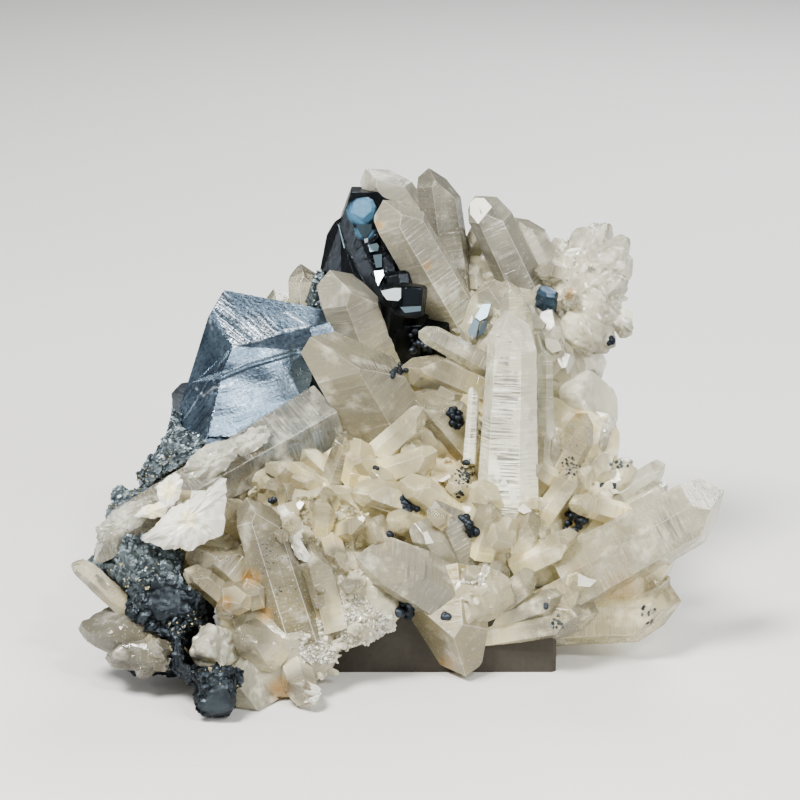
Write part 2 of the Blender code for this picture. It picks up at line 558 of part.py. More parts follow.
def sprouts(quartz):
    """Small crystals all over the cluster: in the front view's patches, and around the back and the top."""
    tree = tree_of(quartz)
    eye = VIEW_MIDDLE - AWAY * EYE_DISTANCE
    found = {}
    for patch, (left, right, low, high, count, length, width) in SPROUT_PATCHES.items():
        chance = random.Random(patch)
        for number in range(count):
            aim = seen(chance.uniform(left, right), chance.uniform(low, high), 0)
            place, normal, _, _ = tree.ray_cast(eye, (aim - eye).normalized())
            if place and place.z > LOWEST_SPROUT:
                found[f"{patch}_{number}"] = grown_at(chance, place, normal, length, width)
    for patch, (count, length, width, lowest_turn, highest_turn) in BACK_PATCHES.items():
        chance = random.Random(patch)
        for number in range(count):
            turn = math.radians(lowest_turn + (highest_turn - lowest_turn) * (number + 0.5) / count)
            rise = math.radians(chance.uniform(*BACK_RISE))
            way = Vector((math.cos(turn) * math.cos(rise), math.sin(turn) * math.cos(rise), math.sin(rise)))
            aim = BACK_AIM + Vector((chance.uniform(-1, 1), 0, chance.uniform(-1, 1))) * BACK_SPREAD
            place, normal, _, _ = tree.ray_cast(aim + way * EYE_DISTANCE, -way)
            if place and place.z > LOWEST_SPROUT and place.y > BACK_START:
                found[f"{patch}_{number}"] = grown_at(chance, place, normal, length, width)
    return found


def bead_solids(tree, beads):
    """Round lumps that sit where the front view's lines meet the quartz."""
    eye = VIEW_MIDDLE - AWAY * EYE_DISTANCE
    solids = []
    for across, up, size in beads:
        aim = seen(across, up, 0)
        place, normal, _, _ = tree.ray_cast(eye, (aim - eye).normalized())
        middle = place - (aim - eye).normalized() * size * MM * BEAD_RISE
        solids.append(lump(f"bead_{across}_{up}", middle, (size, size, size), BEAD_FACES))
    return solids


def large_bournonite_solids(grow=0.0):
    """The large blocky crystal with its ledges, lower left of the top."""
    return [crystal_block(inside, faces, grow) for inside, *faces in LARGE_BLOCKS]


def cogwheel_solids(grow=0.0):
    """The cogwheel crystal at the top, with its teeth and the small crystals at its foot."""
    solids = [crystal_block(inside, faces, grow) for inside, *faces in COGWHEEL_BLOCKS]
    return solids + [cog(name, grow=grow, **shape) for name, shape in COGS.items()]


def small_cog_solids(name, grow=0.0):
    """A small tabular crystal that stands on its own."""
    return [cog(name, grow=grow, **SMALL_COGS[name])]


def block_solid(grow=0.0):
    """The display block, with its origin in the middle of its underside."""
    solid = bmesh.new()
    size = Vector((BLOCK_WIDTH + 2 * grow, BLOCK_DEPTH + 2 * grow, BLOCK_HEIGHT + grow))
    middle = Vector((0, 0, size.z / 2))
    bmesh.ops.create_cube(solid, size=1, matrix=Matrix.Translation(middle) @ Matrix.Diagonal(size).to_4x4())
    upper = [edge for edge in solid.edges if max(vert.co.z for vert in edge.verts) > middle.z]
    bmesh.ops.bevel(solid, geom=upper, offset=BLOCK_BEVEL, segments=1, affect="EDGES")
    return solid


def ground_solid():
    """What lies below the lowest height that a mineral may reach."""
    solid = bmesh.new()
    size = Vector((GROUND_WIDTH, GROUND_WIDTH, GROUND_DEPTH))
    middle = Vector((0, 0, FLOOR_GAP - GROUND_DEPTH / 2))
    bmesh.ops.create_cube(solid, size=1, matrix=Matrix.Translation(middle) @ Matrix.Diagonal(size).to_4x4())
    return solid


def main():
    remove_everything()
    first = united("first_quartz", quartz_solids())
    little = sprouts(first)
    remove(first)
    quartz = united("quartz_cluster", quartz_solids()
                    + [spire(name, **shape) for name, shape in little.items()])
    grown_quartz = united("grown_quartz", quartz_solids(CLEARANCE)
                          + [spire(name, grow=CLEARANCE, **shape) for name, shape in little.items()])
    large = united("bournonite_large", large_bournonite_solids())
    cogwheel = united("bournonite_cogwheel", cogwheel_solids())
    bead_ground = tree_of(quartz, cogwheel)
    ground = as_object("ground", ground_solid())
    grown_block = as_object("grown_block", block_solid(CLEARANCE))
    grown_large = united("grown_large", large_bournonite_solids(CLEARANCE))
    grown_bournonite = [grown_large, united("grown_cogwheel", cogwheel_solids(CLEARANCE))]
    grown_bournonite += [united("grown_" + name, small_cog_solids(name, CLEARANCE)) for name in SMALL_COGS]
    cut_away(quartz, [ground, grown_block] + grown_bournonite)
    matrix = united("sulphide_matrix", [lump(name, seen(*middle), sizes, MATRIX_FACES)
                                        for name, (middle, sizes) in MATRIX_LUMPS.items()])
    cut_away(matrix, [ground, grown_block, grown_quartz] + grown_bournonite)
    bournonites = [large, cogwheel]
    bournonites += [cut_away(united(name, small_cog_solids(name)), [grown_large]) for name in SMALL_COGS]
    for name, beads in BEADS.items():
        clump = united(name, bead_solids(bead_ground, beads))
        bournonites.append(cut_away(clump, [grown_quartz] + grown_bournonite))
    block = as_object("display_block", block_solid())
    for cutter in [ground, grown_block, grown_quartz] + grown_bournonite:
        remove(cutter)
    for kind, nodes in (("quartz", [quartz]), ("sulphide", [matrix]), ("bournonite", bournonites),
                        ("block", [block])):
        for node in nodes:
            keep_largest_body(node)
            node.data.materials.clear()
            node.data.materials.append(finish(kind))


if __name__ == "__main__":
    main()
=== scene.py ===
import bisect
import math
import random

import bmesh
import bpy
from mathutils import Matrix, Vector, noise
from mathutils.bvhtree import BVHTree


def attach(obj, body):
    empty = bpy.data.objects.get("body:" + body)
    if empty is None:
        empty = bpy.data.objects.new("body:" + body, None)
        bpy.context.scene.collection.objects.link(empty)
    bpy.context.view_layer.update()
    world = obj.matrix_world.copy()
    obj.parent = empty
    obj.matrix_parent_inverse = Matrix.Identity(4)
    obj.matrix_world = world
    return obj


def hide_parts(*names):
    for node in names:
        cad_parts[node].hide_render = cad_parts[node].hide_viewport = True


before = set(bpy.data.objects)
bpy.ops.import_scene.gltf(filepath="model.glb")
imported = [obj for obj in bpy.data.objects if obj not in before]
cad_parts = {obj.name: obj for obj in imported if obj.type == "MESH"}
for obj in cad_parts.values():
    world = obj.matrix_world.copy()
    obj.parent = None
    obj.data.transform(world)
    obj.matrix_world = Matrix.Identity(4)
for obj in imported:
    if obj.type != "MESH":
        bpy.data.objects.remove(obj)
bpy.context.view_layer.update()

# The vectors of noise come from this seed.
noise.seed_set(7)

MM = 0.001
GOLDEN_TURN = math.pi * (3 - math.sqrt(5))
SAME_PLACE = 1e-7

# The front view that places are given in, as millimetres across, up and away from the eye
EYE_ELEVATION = math.radians(18)
EYE_DISTANCE = 0.500
VIEW_WIDTH = 0.140
VIEW_MIDDLE = Vector((-0.0073, -0.0053, 0.0453))
ACROSS = Vector((1, 0, 0))
UP = Vector((0, math.sin(EYE_ELEVATION), math.cos(EYE_ELEVATION)))
AWAY = Vector((0, math.cos(EYE_ELEVATION), -math.sin(EYE_ELEVATION)))
EYE = VIEW_MIDDLE - AWAY * EYE_DISTANCE

SENSOR_WIDTH = 36

# How a quartz point is cut: the tilt of its faces, and how far from the tip they start in parts of the width
RHOMB_TILT = math.radians(51.8)
LARGE_FACE_DROP = (0, 0.12)
SMALL_FACE_DROP = (-0.3, -0.1)
UNEVEN_SIDES = (0.94, 1.06)

# Wear of the crystals' edges, and growth bands on the sides of the broad ones
EDGE_WEAR = 0.09 * MM
EDGE_WEAR_SHARE = 0.03
BAND_HEIGHT = 0.55 * MM
BAND_HEIGHTS = (0.35, 1.8)
BAND_DEPTH = 0.07 * MM
LEDGE = 0.05 * MM
BAND_COLUMNS = 4
FIRST_COLUMN = 0.37
BROAD = 6
MIDDLE_OF_BASE = 0.2 * MM
# How the depth of the bands varies from one to the next and around the crystal, and the parts of the width
# below the tip where bands end and where they fade
BAND_CHANGE = 3.7
BAND_WAVES = 1.3
BARE_POINT = 0.5
BAND_FADE = 0.7
# Half of the angle that one of the six sides takes up
HALF_SIDE = math.radians(30)

# Quartz crystals: root and tip in view millimetres, width in millimetres, roll in degrees, how much the sides
# taper, how far one face of the point is cut back, and how flat the crystal is. At roll 0 a side face looks at
# the eye, and at roll 30 an edge does.
SPIRE_COLUMNS = ("root", "tip", "width", "roll", "taper", "chisel", "flat")
SPIRES = {
    "tower": ((18.6, -25.0, 3), (19.8, 15.6, -1), 11.6, -14, 0.30),
    "tower_shadow": ((22.5, -6.0, 9), (19.6, 21.3, 8), 7.2, 10, 0.25),
    "tower_side": ((25.6, -14.0, 5), (25.4, 8.8, 5), 3.0, 30, 0.2),
    "stub": ((0.0, -8.3, 17), (-12.4, 12.9, 3), 15.6, 30, 0.10, 0.5),
    "pointed": ((-3.6, 3.9, 24), (-11.0, 23.3, 16), 11.2, 22, 0.05),
    "back_tip": ((5.4, 26.0, 34), (-5.0, 41.3, 32), 9.6, 5, 0.1, 0.3),
    "upright": ((9.6, 15.5, 30), (6.2, 40.8, 27), 8.0, 12, 0.05),
    "diagonal": ((10.9, 12.8, 26), (-2.3, 35.4, 17), 9.4, 18, 0.05, 0.2),
    "bright_tip": ((23.2, 16.3, 28), (13.8, 36.0, 20), 8.4, -8, 0.1),
    "behind_bright": ((28.0, 17.3, 32), (20.6, 32.4, 27), 7.6, 20, 0.1),
    "spear": ((29.0, -32.3, 1), (57.2, -16.6, -1), 12.6, 12, 0.12, 0.1),
    "spear_top": ((35.0, -18.8, 11), (46.8, -11.6, 8), 4.8, 20, 0.1),
    "spear_back": ((38.0, -20.0, 9), (47.2, -15.2, 8), 4.0, 0, 0.1),
    "front_block": ((12.0, -37.5, 0), (-6.0, -26.3, -12), 11.4, -10, 0.05, 0.5),
    "clear_front": ((13.1, -32.4, 3), (7.2, -17.4, -5), 8.0, 18, 0.1),
    "clear_low": ((9.6, -30.6, 0), (3.4, -21.4, -8), 6.4, 5, 0.1),
    "cream": ((7.5, -21.5, 5), (-9.0, -15.6, -3), 8.8, 10, 0.2),
    "cream_back": ((10.5, -17.0, 9), (-4.6, -11.4, 3), 8.4, 25, 0.2),
    "little_lean": ((-4.9, -10.4, 7), (4.6, -1.9, 1), 5.0, 10, 0.1),
    "taupe": ((13.0, -9.0, 13), (3.2, 2.2, 8), 9.0, 0, 0.1, 0.4),
    "cross": ((16.0, 5.6, 16), (3.5, 12.5, 11), 4.4, 8, 0.1),
    "cross_back": ((15.0, 0.5, 17), (0.5, 6.9, 11), 7.4, 20, 0.1),
    "needle": ((12.3, -11.0, 5), (13.0, 2.3, 3), 2.8, 12, 0.3),
    "bar": ((-13.4, -2.8, 11), (-54.6, -26.0, -9), 11.8, 28, 0.42, 0.4),
    "notch": ((-13.0, -17.0, 7), (-8.8, -5.6, 2), 4.6, 25, 0.1),
    "round_tip": ((-12.3, -26.0, 4), (-13.2, -17.4, -6), 7.0, 12, 0.05),
    "leaning": ((-17.4, -43.0, -11), (-25.7, -16.6, -11), 9.6, 12, 0.1),
    "leaning_blade": ((-16.4, -28.6, -11), (-21.6, -18.4, -11), 2.8, 20, 0.2, 0.25, 0.5),
    "pale": ((-11.6, -40.0, -8), (-15.4, -24.6, -10), 7.8, 10, 0.1),
    "tan": ((-24.4, -34.3, -4), (-35.9, -24.0, -9), 9.0, 20, 0.05, 0.4),
    "tan_low": ((-28.6, -36.6, -8), (-37.3, -29.2, -12), 4.8, 0, 0.05),
    "tan_right": ((-23.0, -36.0, -7), (-31.0, -32.2, -12), 5.0, 15, 0.05),
    "tan_top": ((-24.6, -27.0, -1), (-30.2, -16.8, -5), 7.2, 25, 0.1),
    "left_point": ((-46.0, -38.0, -7), (-57.4, -27.7, -8), 4.2, 10, 0.1),
    "left_lobe": ((-42.0, -42.6, -8), (-55.8, -36.6, -9), 11.4, 5, 0.1, 0.5),
    "left_foot": ((-40.0, -44.6, -13), (-52.0, -44.4, -12), 6.0, 20, 0.1),
    "left_toe": ((-42.0, -42.0, -13), (-46.4, -48.8, -13), 5.0, 0, 0.1),
    "left_heel": ((-38.0, -43.0, -13), (-41.8, -47.0, -14), 4.6, 10, 0.1),
    "pale_block": ((33.0, -2.2, 22), (33.0, 1.6, 9), 11.0, 20, 0.0, 0.4),
    "pale_step": ((31.0, -13.0, 16), (39.2, -4.6, 10), 7.6, 15, 0.0, 0.6),
    "pale_corner": ((29.0, -19.0, 12), (41.6, -11.0, 11), 6.0, 15, 0.1),
    "fan_a": ((29.8, 18.3, 30), (37.2, 31.5, 30), 7.0, 5, 0.0),
    "fan_b": ((30.6, 18.6, 27), (41.0, 28.2, 24), 7.2, 20, 0.0),
    "fan_c": ((29.6, 17.5, 25), (40.6, 20.2, 22), 7.0, 10, 0.0),
    "fan_d": ((30.5, 16.0, 23), (40.2, 13.6, 20), 6.4, 0, 0.0),
    "fan_e": ((28.6, 13.3, 22), (37.8, 8.6, 18), 7.0, 15, 0.0),
    "fan_f": ((28.9, 19.3, 32), (28.6, 29.2, 30), 7.2, 0, 0.0, 0.4),
    "fan_g": ((30.6, 17.3, 31), (33.4, 30.6, 31), 6.8, 25, 0.0),
    "low_right": ((33.0, -35.0, 5), (48.8, -28.0, 4), 6.0, 15, 0.0),
    "low_corner": ((24.0, -37.6, 8), (49.4, -36.6, 3), 11.6, 12, 0.05),
    "far_a": ((-15.0, -1.0, 37), (-16.6, 23.9, 33), 7.0, 10, 0.0),
    "far_b": ((-15.6, 0.0, 36), (-21.8, 19.6, 34), 6.4, 0, 0.0),
    "down_left": ((-25.4, -44.5, -12), (-28.4, -56.0, -21), 6.4, 10, 0.1),
    "down_mid": ((-23.5, -45.5, -12), (-21.8, -56.2, -21), 8.0, 20, 0.05),
    "down_right": ((-19.0, -45.0, -11), (-16.4, -53.4, -18), 6.4, 5, 0.1),
    "foot_block": ((7.2, -31.0, 0), (9.2, -48.4, -6), 16.0, 10, 0.15, 0.3),
}
# Smaller crystals of the front, which the solids leave to the massive quartz below them
FRONT_CRYSTALS = {
    "amber": ((24.6, -18.5, 8), (33.4, -2.6, 5), 6.2, 8, 0.1, 0.3),
    "thin_one": ((25.0, -15.0, 4), (25.4, -5.2, 3), 2.2, 20, 0.1),
    "thin_taupe": ((25.4, -15.0, 6), (27.8, -6.0, 4), 3.2, 5, 0.1),
    "under_amber": ((24.0, -22.0, 3), (31.6, -11.6, 1), 4.6, 15, 0.1),
    "crossing": ((39.6, -20.4, 4), (29.8, -17.6, -1), 4.8, 10, 0.1),
    "ray_low": ((20.0, -29.0, 0), (31.5, -24.0, -4), 6.0, 20, 0.15),
    "under_spear": ((20.0, -39.0, 0), (34.8, -31.2, -4), 7.0, 12, 0.1, 0.4),
    "corner_face": ((38.0, -39.0, 4), (48.4, -32.6, 3), 7.6, 0, 0.0, 0.5),
    "skirt_one": ((8.0, -35.6, 3), (34.6, -38.8, -3), 9.4, 8, 0.05, 0.4),
    "ray_one": ((13.0, -38.6, 1), (18.4, -28.6, -5), 5.4, 8, 0.1),
    "ray_two": ((13.0, -39.0, 1), (24.0, -30.4, -6), 5.2, 20, 0.1),
    "ray_three": ((13.0, -40.0, 1), (28.6, -34.4, -6), 5.0, 0, 0.1),
    "ray_four": ((14.0, -41.0, 0), (31.0, -38.6, -6), 5.0, 14, 0.1),
    "ray_five": ((14.0, -36.0, 1), (15.6, -28.4, -4), 4.0, 26, 0.1),
    "cream_one": ((-6.4, -14.2, 4), (6.8, -9.6, -1), 5.6, 5, 0.1),
    "cream_two": ((5.0, -19.5, 2), (-8.0, -15.2, -5), 6.8, 12, 0.15),
    "cream_three": ((10.0, -20.4, 1), (0.6, -13.6, -5), 6.0, 0, 0.1),
    "cream_four": ((-8.0, -14.0, 5), (-6.4, -7.0, 1), 6.4, 10, 0.1),
    "yellow_block": ((4.0, -22.4, 0), (-2.2, -20.6, -7), 4.8, 20, 0.1),
    "pale_round": ((-3.4, -27.0, 0), (-4.4, -21.0, -9), 6.6, 10, 0.05),
    "yellow_low": ((-8.0, -27.0, 0), (-10.6, -20.6, -7), 5.0, 25, 0.05),
    "tower_foot": ((14.0, -27.0, -1), (16.6, -17.8, -5), 6.4, 15, 0.1),
    "tower_heel": ((20.5, -27.5, 0), (23.4, -19.4, -5), 5.6, 5, 0.1),
    "left_beige": ((-19.0, -21.0, 2), (-19.8, -14.6, -3), 5.4, 10, 0.1),
    "left_beige_two": ((-14.0, -20.0, 4), (-15.4, -12.6, 0), 4.6, 20, 0.1),
    "sliver": ((-27.0, -42.0, -8), (-30.2, -34.0, -12), 6.6, 20, 0.1),
    "chunk_large": ((-23.6, -50.0, -6), (-25.0, -48.9, -19), 15.6, 20, 0.0, 0.4),
    "white_block": ((-31.6, -44.0, -9), (-33.2, -43.2, -20), 8.6, 12, 0.0, 0.3),
    "chunk_upper": ((-22.0, -45.0, -12), (-27.6, -38.6, -17), 8.0, 15, 0.0, 0.3),
}
# Massive quartz that the crystals grow from, as rough convex lumps: middle and half sizes
LUMPS = {
    "heart": ((17.5, -26.0, 7), (15, 12, 10)),
    "heart_left": ((3.0, -20.0, 9), (14, 12, 10)),
    "right_bank": ((24.4, -12.3, 16), (13, 15, 12)),
    "middle_bank": ((7.0, -5.0, 20), (15, 13, 11)),
    "upper_bank": ((20.0, 8.0, 26), (14, 14, 10)),
    "top_bank": ((10.0, 18.5, 35), (13, 11, 8)),
    "fan_heart": ((32.0, 18.0, 29), (8, 9.5, 9)),
    "left_bank": ((-15.0, -26.0, 1), (12, 13, 9)),
    "saddle": ((-13.0, -10.0, 16), (12, 11, 9)),
    "left_low": ((-21.5, -42.5, -10), (10, 9, 8)),
    "left_chunk": ((-25.4, -46.0, -14), (8, 7, 6)),
    "white_cube": ((-33.2, -43.0, -17), (4.8, 4.4, 5)),
    "petals": ((-36.8, -20.0, -5), (6.5, 5.2, 4)),
    "tan_bank": ((-33.0, -28.5, -2), (8.0, 8.0, 6)),
    "saddle_low": ((-23.0, -15.0, 7), (9.0, 8.0, 8)),
    "right_low": ((35.0, -29.0, 9), (10, 11, 10)),
    "corner_low": ((38.0, -36.8, 4), (9, 4.4, 7)),
    "foot": ((7.2, -41.0, -6), (6.6, 7.2, 4.6)),
    "apron": ((-8.5, -35.0, -7), (8.5, 9, 5)),
    "apron_right": ((22.0, -37.6, -3), (9, 5.4, 6)),
    "apron_middle": ((13.5, -34.0, -5), (7, 5.5, 5)),
    "back_low": ((2.0, -13.0, 30), (13, 12, 11)),
    "back_right": ((19.0, -15.0, 28), (12, 13, 12)),
    "back_high": ((11.0, -2.0, 37), (13, 11, 9)),
    "back_left": ((-13.0, -8.0, 32), (12, 11, 10)),
}
OWN_LUMPS = {
    "left_core": ((-20.5, -42.8, -8), (10, 8, 7.5)),
    "skirt_core": ((24.0, -36.0, 4), (9, 4.6, 5)),
}
# What the solids have and finer forms here take the place of
LEFT_OUT = ("leaning_blade", "foot", "white_cube", "corner_low", "apron_right", "left_low", "left_chunk",
            "down_left", "down_mid")
LUMP_FACES = 15
LUMP_CUTS = (0.84, 1.0)
LUMP_TURNS = (-0.5, 0.5)
LUMP_TILTS = (-0.1, 0.1)
# The pattern of a lump runs along a line through its middle: how far below and above it, and its width
LUMP_FOOT = 30
LUMP_HEAD = 5
LUMP_WIDTH = 10
FACET_SIZE = 3.4 * MM
FACET_TILT = 0.28
FACET_CHANGE = 5.1
FACET_SINK = 0.3 * MM
# Waves of rounded surfaces as length and height in millimetres, and the pits of frosty ones
KNOB_WAVES = ((2.2, 0.16), (0.8, 0.05))
BUMP_WAVES = ((2.4, 0.8), (0.9, 0.2))
PIT_GAP = 2.1
PIT_RIM = (0.10, 0.36)
PIT_DEPTH = 0.5

# Crystals and lumps whose edges are dissolved round, and frosty ones
ROUNDED = ("left_lobe", "left_foot", "left_toe", "left_heel", "left_point", "pale_block", "pale_step",
           "pale_corner", "pale_round", "yellow_", "chunk_upper")
SMOOTH_LUMPS = ("left_core",)
FROSTY = ("fan", "white_block")

# Crystals that are clear down to their roots, and where the others start to clear, in parts of their length
GLASSY = ("bar", "spear", "clear_front", "clear_low", "front_block", "stub", "chunk_large", "low_corner",
          "skirt_one", "cross", "pale_block", "bright_tip")
MILKY_PART = 0.15
MILKY_PART_OF_GLASSY = -0.4
CLEARING = 0.5

# How clear a crystal is at its tip, and how frosted its sides are with white growth lines
CLEAR = {
    "tower": 0.45, "tower_shadow": 0.6, "stub": 0.55, "pointed": 0.45, "back_tip": 0.4, "upright": 0.28,
    "diagonal": 0.42, "bright_tip": 0.38, "spear": 0.6, "front_block": 0.5, "clear_front": 0.6,
    "clear_low": 0.55, "bar": 0.65, "pale_block": 0.35, "leaning": 0.38, "left_lobe": 0.28, "notch": 0.7,
    "needle": 0.2, "foot_block": 0.35, "taupe": 0.6, "cross_back": 0.55, "cream": 0.45, "cream_back": 0.45,
    "cream_one": 0.45, "cream_two": 0.45, "cream_three": 0.45, "cream_four": 0.45, "yellow_block": 0.5,
    "tower_foot": 0.6, "tower_heel": 0.6, "ray_low": 0.6, "low_corner": 0.6, "chunk_large": 0.6, "tan": 0.6,
}
FROST = {
    "tower": 1.0, "bar": 0.4, "diagonal": 0.6, "spear": 0.3, "front_block": 0.35, "needle": 1.0,
    "bright_tip": 0.6, "clear_front": 0.8, "notch": 0.6, "leaning": 0.2, "cross": 0.5, "tower_shadow": 0.4,
    "cream_two": 0.5, "cream_three": 0.4, "cream": 0.5, "cream_back": 0.4, "cream_one": 0.3,
    "under_spear": 0.7, "crossing": 0.4, "amber": 0.25, "upright": 0.12, "stub": 0.08, "pointed": 0.08,
    "tower_side": 0.5, "left_beige": 0.4, "foot_block": 0.1, "white_block": 0.6, "chunk_large": 0.25,
    "low_corner": 0.3,
}
USUAL_CLEAR = 0.6
FROSTY_CLEAR = 0.5
GROWTH_CLEAR = 0.5
LUMP_CLEAR = 0.3
USUAL_FROST = 0.12
# The frost of faces that look away from the front, as a share of the front faces' frost
OFF_FRONT_FROST = 0.35
FACING_FRONT = (0.7, 0.92)
# How far apart in millimetres two crystals' growth lines are taken from one pattern, at most
MAP_SHIFT = 50
# The third part of a corner's nature: whether it is on a crystal, or on massive quartz
CRYSTAL = 0.0
BETWEEN = 0.5
UNSHAPED = 1.0

# How light and how warm the quartz is: in parts of the front view, and of crystals that differ from those.
# The lightness is partly the quartz's own tone and partly painted light and shade: darker where the cluster
# was shaded, lighter where it was well lit
PARTS = {
    "upper": (0, 30, 0.40, 0.35),
    "fan": (35, 20, 0.78, 0.12),
    "right_bank": (36, 0, 0.86, 0.15),
    "right": (32, -20, 0.95, 0.75),
    "centre": (8, -20, 0.98, 0.95),
    "centre_left": (-10, -16, 0.85, 1.0),
    "low_middle": (14, -36, 0.92, 0.55),
    "foot": (8, -45, 0.25, 0.75),
    "low_right": (40, -37, 0.80, 0.75),
    "apron": (-9, -38, 0.85, 0.25),
    "leaning": (-21, -31, 0.34, 0.85),
    "tan": (-31, -28, 0.54, 0.9),
    "chunk": (-28, -47, 0.60, 0.4),
    "left": (-50, -40, 0.05, 0.45),
    "middle": (6, 2, 0.50, 0.55),
    "behind_tower": (14, 14, 0.42, 0.5),
    "beside_tower": (26, 8, 0.62, 0.3),
}
OWN_LOOKS = {
    "tower": (1.0, 0.15), "needle": (1.0, 0.1), "tower_side": (0.8, 0.15), "tower_shadow": (0.75, 0.4),
    "stub": (0.48, 0.5), "pointed": (0.40, 0.4), "taupe": (0.42, 0.6), "bright_tip": (0.24, 0.2),
    "upright": (0.10, 0.3), "diagonal": (0.34, 0.35), "behind_bright": (0.45, 0.3),
    "front_block": (0.44, 0.45), "clear_front": (0.85, 0.15), "clear_low": (0.8, 0.3),
    "spear": (0.70, 0.45), "spear_top": (0.85, 0.15), "spear_back": (0.7, 0.35), "bar": (0.60, 0.2),
    "pale": (0.6, 0.6), "cross": (0.85, 0.15), "cross_back": (0.6, 0.7), "pale_block": (0.95, 0.15),
    "pale_step": (0.9, 0.15), "left_point": (0.5, 0.5), "back_tip": (0.55, 0.2), "little_lean": (0.75, 0.5),
    "notch": (0.6, 0.5), "left_lobe": (0.02, 0.4), "amber": (0.78, 0.9), "foot_block": (0.27, 0.95),
    "chunk_large": (1.0, 0.2), "leaning": (0.18, 0.7), "thin_taupe": (0.5, 0.6), "white_block": (1.0, 0.2),
    "low_corner": (0.85, 0.75),
}
PART_REACH = 6.0
# How far along a crystal its part is looked up, and how much its lightness varies from its part's
LOOK_SPOT = 0.6
TONE_SPREAD = 0.05

# Patches of small quartz crystals in the front view: left, right, low, high, how many, length and width
SPROUT_PATCHES = {
    "druse_middle": (-24, -3, -27, -11, 8, 4.5, 3.4),
    "druse_right": (22, 38, -34, -8, 8, 4.5, 3.4),
    "druse_apron": (-17, -4, -43, -29, 6, 3.0, 2.2),
    "druse_centre": (-2, 18, -32, -20, 4, 3.5, 3.0),
    "druse_fan": (27, 40, 8, 30, 5, 4.0, 3.4),
    "druse_left": (-44, -26, -50, -38, 4, 3.0, 3.0),
}
SPROUT_LEAN = 0.45
SPROUT_RISE = (-0.6, 1.2)
SPROUT_SIZES = (0.7, 1.3)
SPROUT_DEPTH = 0.5
LOWEST_SPROUT = 0.004

# Quartz crystals around the back: how many, length and width, and between which turns from the right side
BACK_PATCHES = {
    "back_tall": (8, 13.0, 7.4, 28, 165),
    "back_short": (9, 7.0, 4.6, 30, 160),
}
BACK_RISE = (-12, 40)
BACK_AIM = Vector((0.004, 0.014, 0.040))
BACK_SPREAD = 0.014
BACK_START = 0.016

# Finer growth than the solids have: patches of low, wide crystals in the front view, and around the back
GROWTH_PATCHES = {
    "growth_cream": (-22, 16, -30, -6, 46, 4.6, 4.6),
    "growth_left": (-38, -20, -40, -17, 16, 3.6, 5.0),
    "growth_right": (18, 40, -36, 0, 26, 4.6, 4.6),
    "growth_upper": (8, 30, 0, 26, 26, 3.0, 4.6),
}
GROWTH_BEHIND = {
    "growth_behind": (60, 3.0, 6.4, 15, 175),
}
# The places that the growth of some patches points away from
GROWTH_ORIGINS = {
    "growth_cream": (15, -25, 9),
    "growth_left": (-17, -42, 0),
    "growth_right": (17, -27, 8),
    "growth_upper": (18, -10, 22),
}

SPROUT_TAPERS = (0, 0.15)
# How growth that lies on a surface points up from it and astray, and how deep it sits in parts of its width
GROWTH_LIFT = 0.45
GROWTH_LEAN = 0.2
GROWTH_DEPTH = 0.25
ON_SURFACE = 0.15 * MM

# Places of the front view that stay free of small growth: middle and radius
BARE_PLACES = (
    (9.0, -42.0, 8.0), (30.5, -8.5, 6.0), (22.0, -35.0, 8.0), (33.0, 1.0, 6.0), (-26.0, -47.0, 7.5),
    (-32.5, -43.5, 5.0), (41.0, -38.0, 7.0), (0.0, -31.5, 6.5), (37.0, -26.0, 6.5), (44.5, -22.5, 7.0),
    (7.0, -35.0, 4.0),
)
FLOOR_GAP = 0.4 * MM

# Sugary crystals in the front view: left, right, low, high, how many, length, whiteness
SUGAR = {
    "apron": (-17.5, -1.5, -46, -27, 4400, 0.42, 0.8),
    "under_tower": (11, 19, -32, -23.5, 900, 0.42, 0.9),
    "yellow": (-18, -6, -26, -17, 700, 0.5, 0.1),
    "skirt": (12, 34, -43.0, -39.5, 900, 0.38, 0.6),
    "foot_rim": (3, 15, -51, -46, 260, 0.34, 0.4),
    "fan": (27, 41, 5, 32, 400, 0.55, 0.6),
    "chunk": (-38, -18, -56, -38, 200, 0.4, 0.6),
}
SUGAR_EVERYWHERE = 900
# Where the sugary crystals leave the quartz bare, and how much they and the larger ones everywhere vary
SUGAR_GAPS = 3.0 * MM
LEAST_SUGAR = -0.15
CROWDING = (-1.4, 1.4)
SUGAR_SIZES = (0.0, 0.35)
SUGAR_WIDTHS = (0.6, 0.9)
SUGAR_LEAN = 0.35
DRUSE_SIZES = (0.1, 0.4)
DRUSE_WIDTHS = (0.6, 0.95)
DRUSE_LEAN = 0.3
DRUSE_WHITE = 0.3
DRUSE_TONES = (-0.15, 0.1)
DRUSE_CLEAR = (0.1, 0.6)
LOWEST_DRUSE = 1.0 * MM

# The edge of the white fringe, lower middle, from its right end to its left one, with the teeth's size
FRINGE = ((-2.6, -37.8), (-5.6, -41.2), (-8.6, -43.6), (-12.6, -47.2), (-15.9, -51.2), (-16.6, -53.6),
          (-19.2, -55))
FRINGE_SPREAD = (0.5, 2.6)
FRINGE_TEETH = 300
TOOTH_LENGTH = 2.1 * MM
TOOTH_WIDTH = 0.75 * MM
TOOTH_SIZES = (0.6, 1.2)
TOOTH_LIFT = 0.35
TOOTH_LEAN = 0.25
FRINGE_WHITE = 0.9

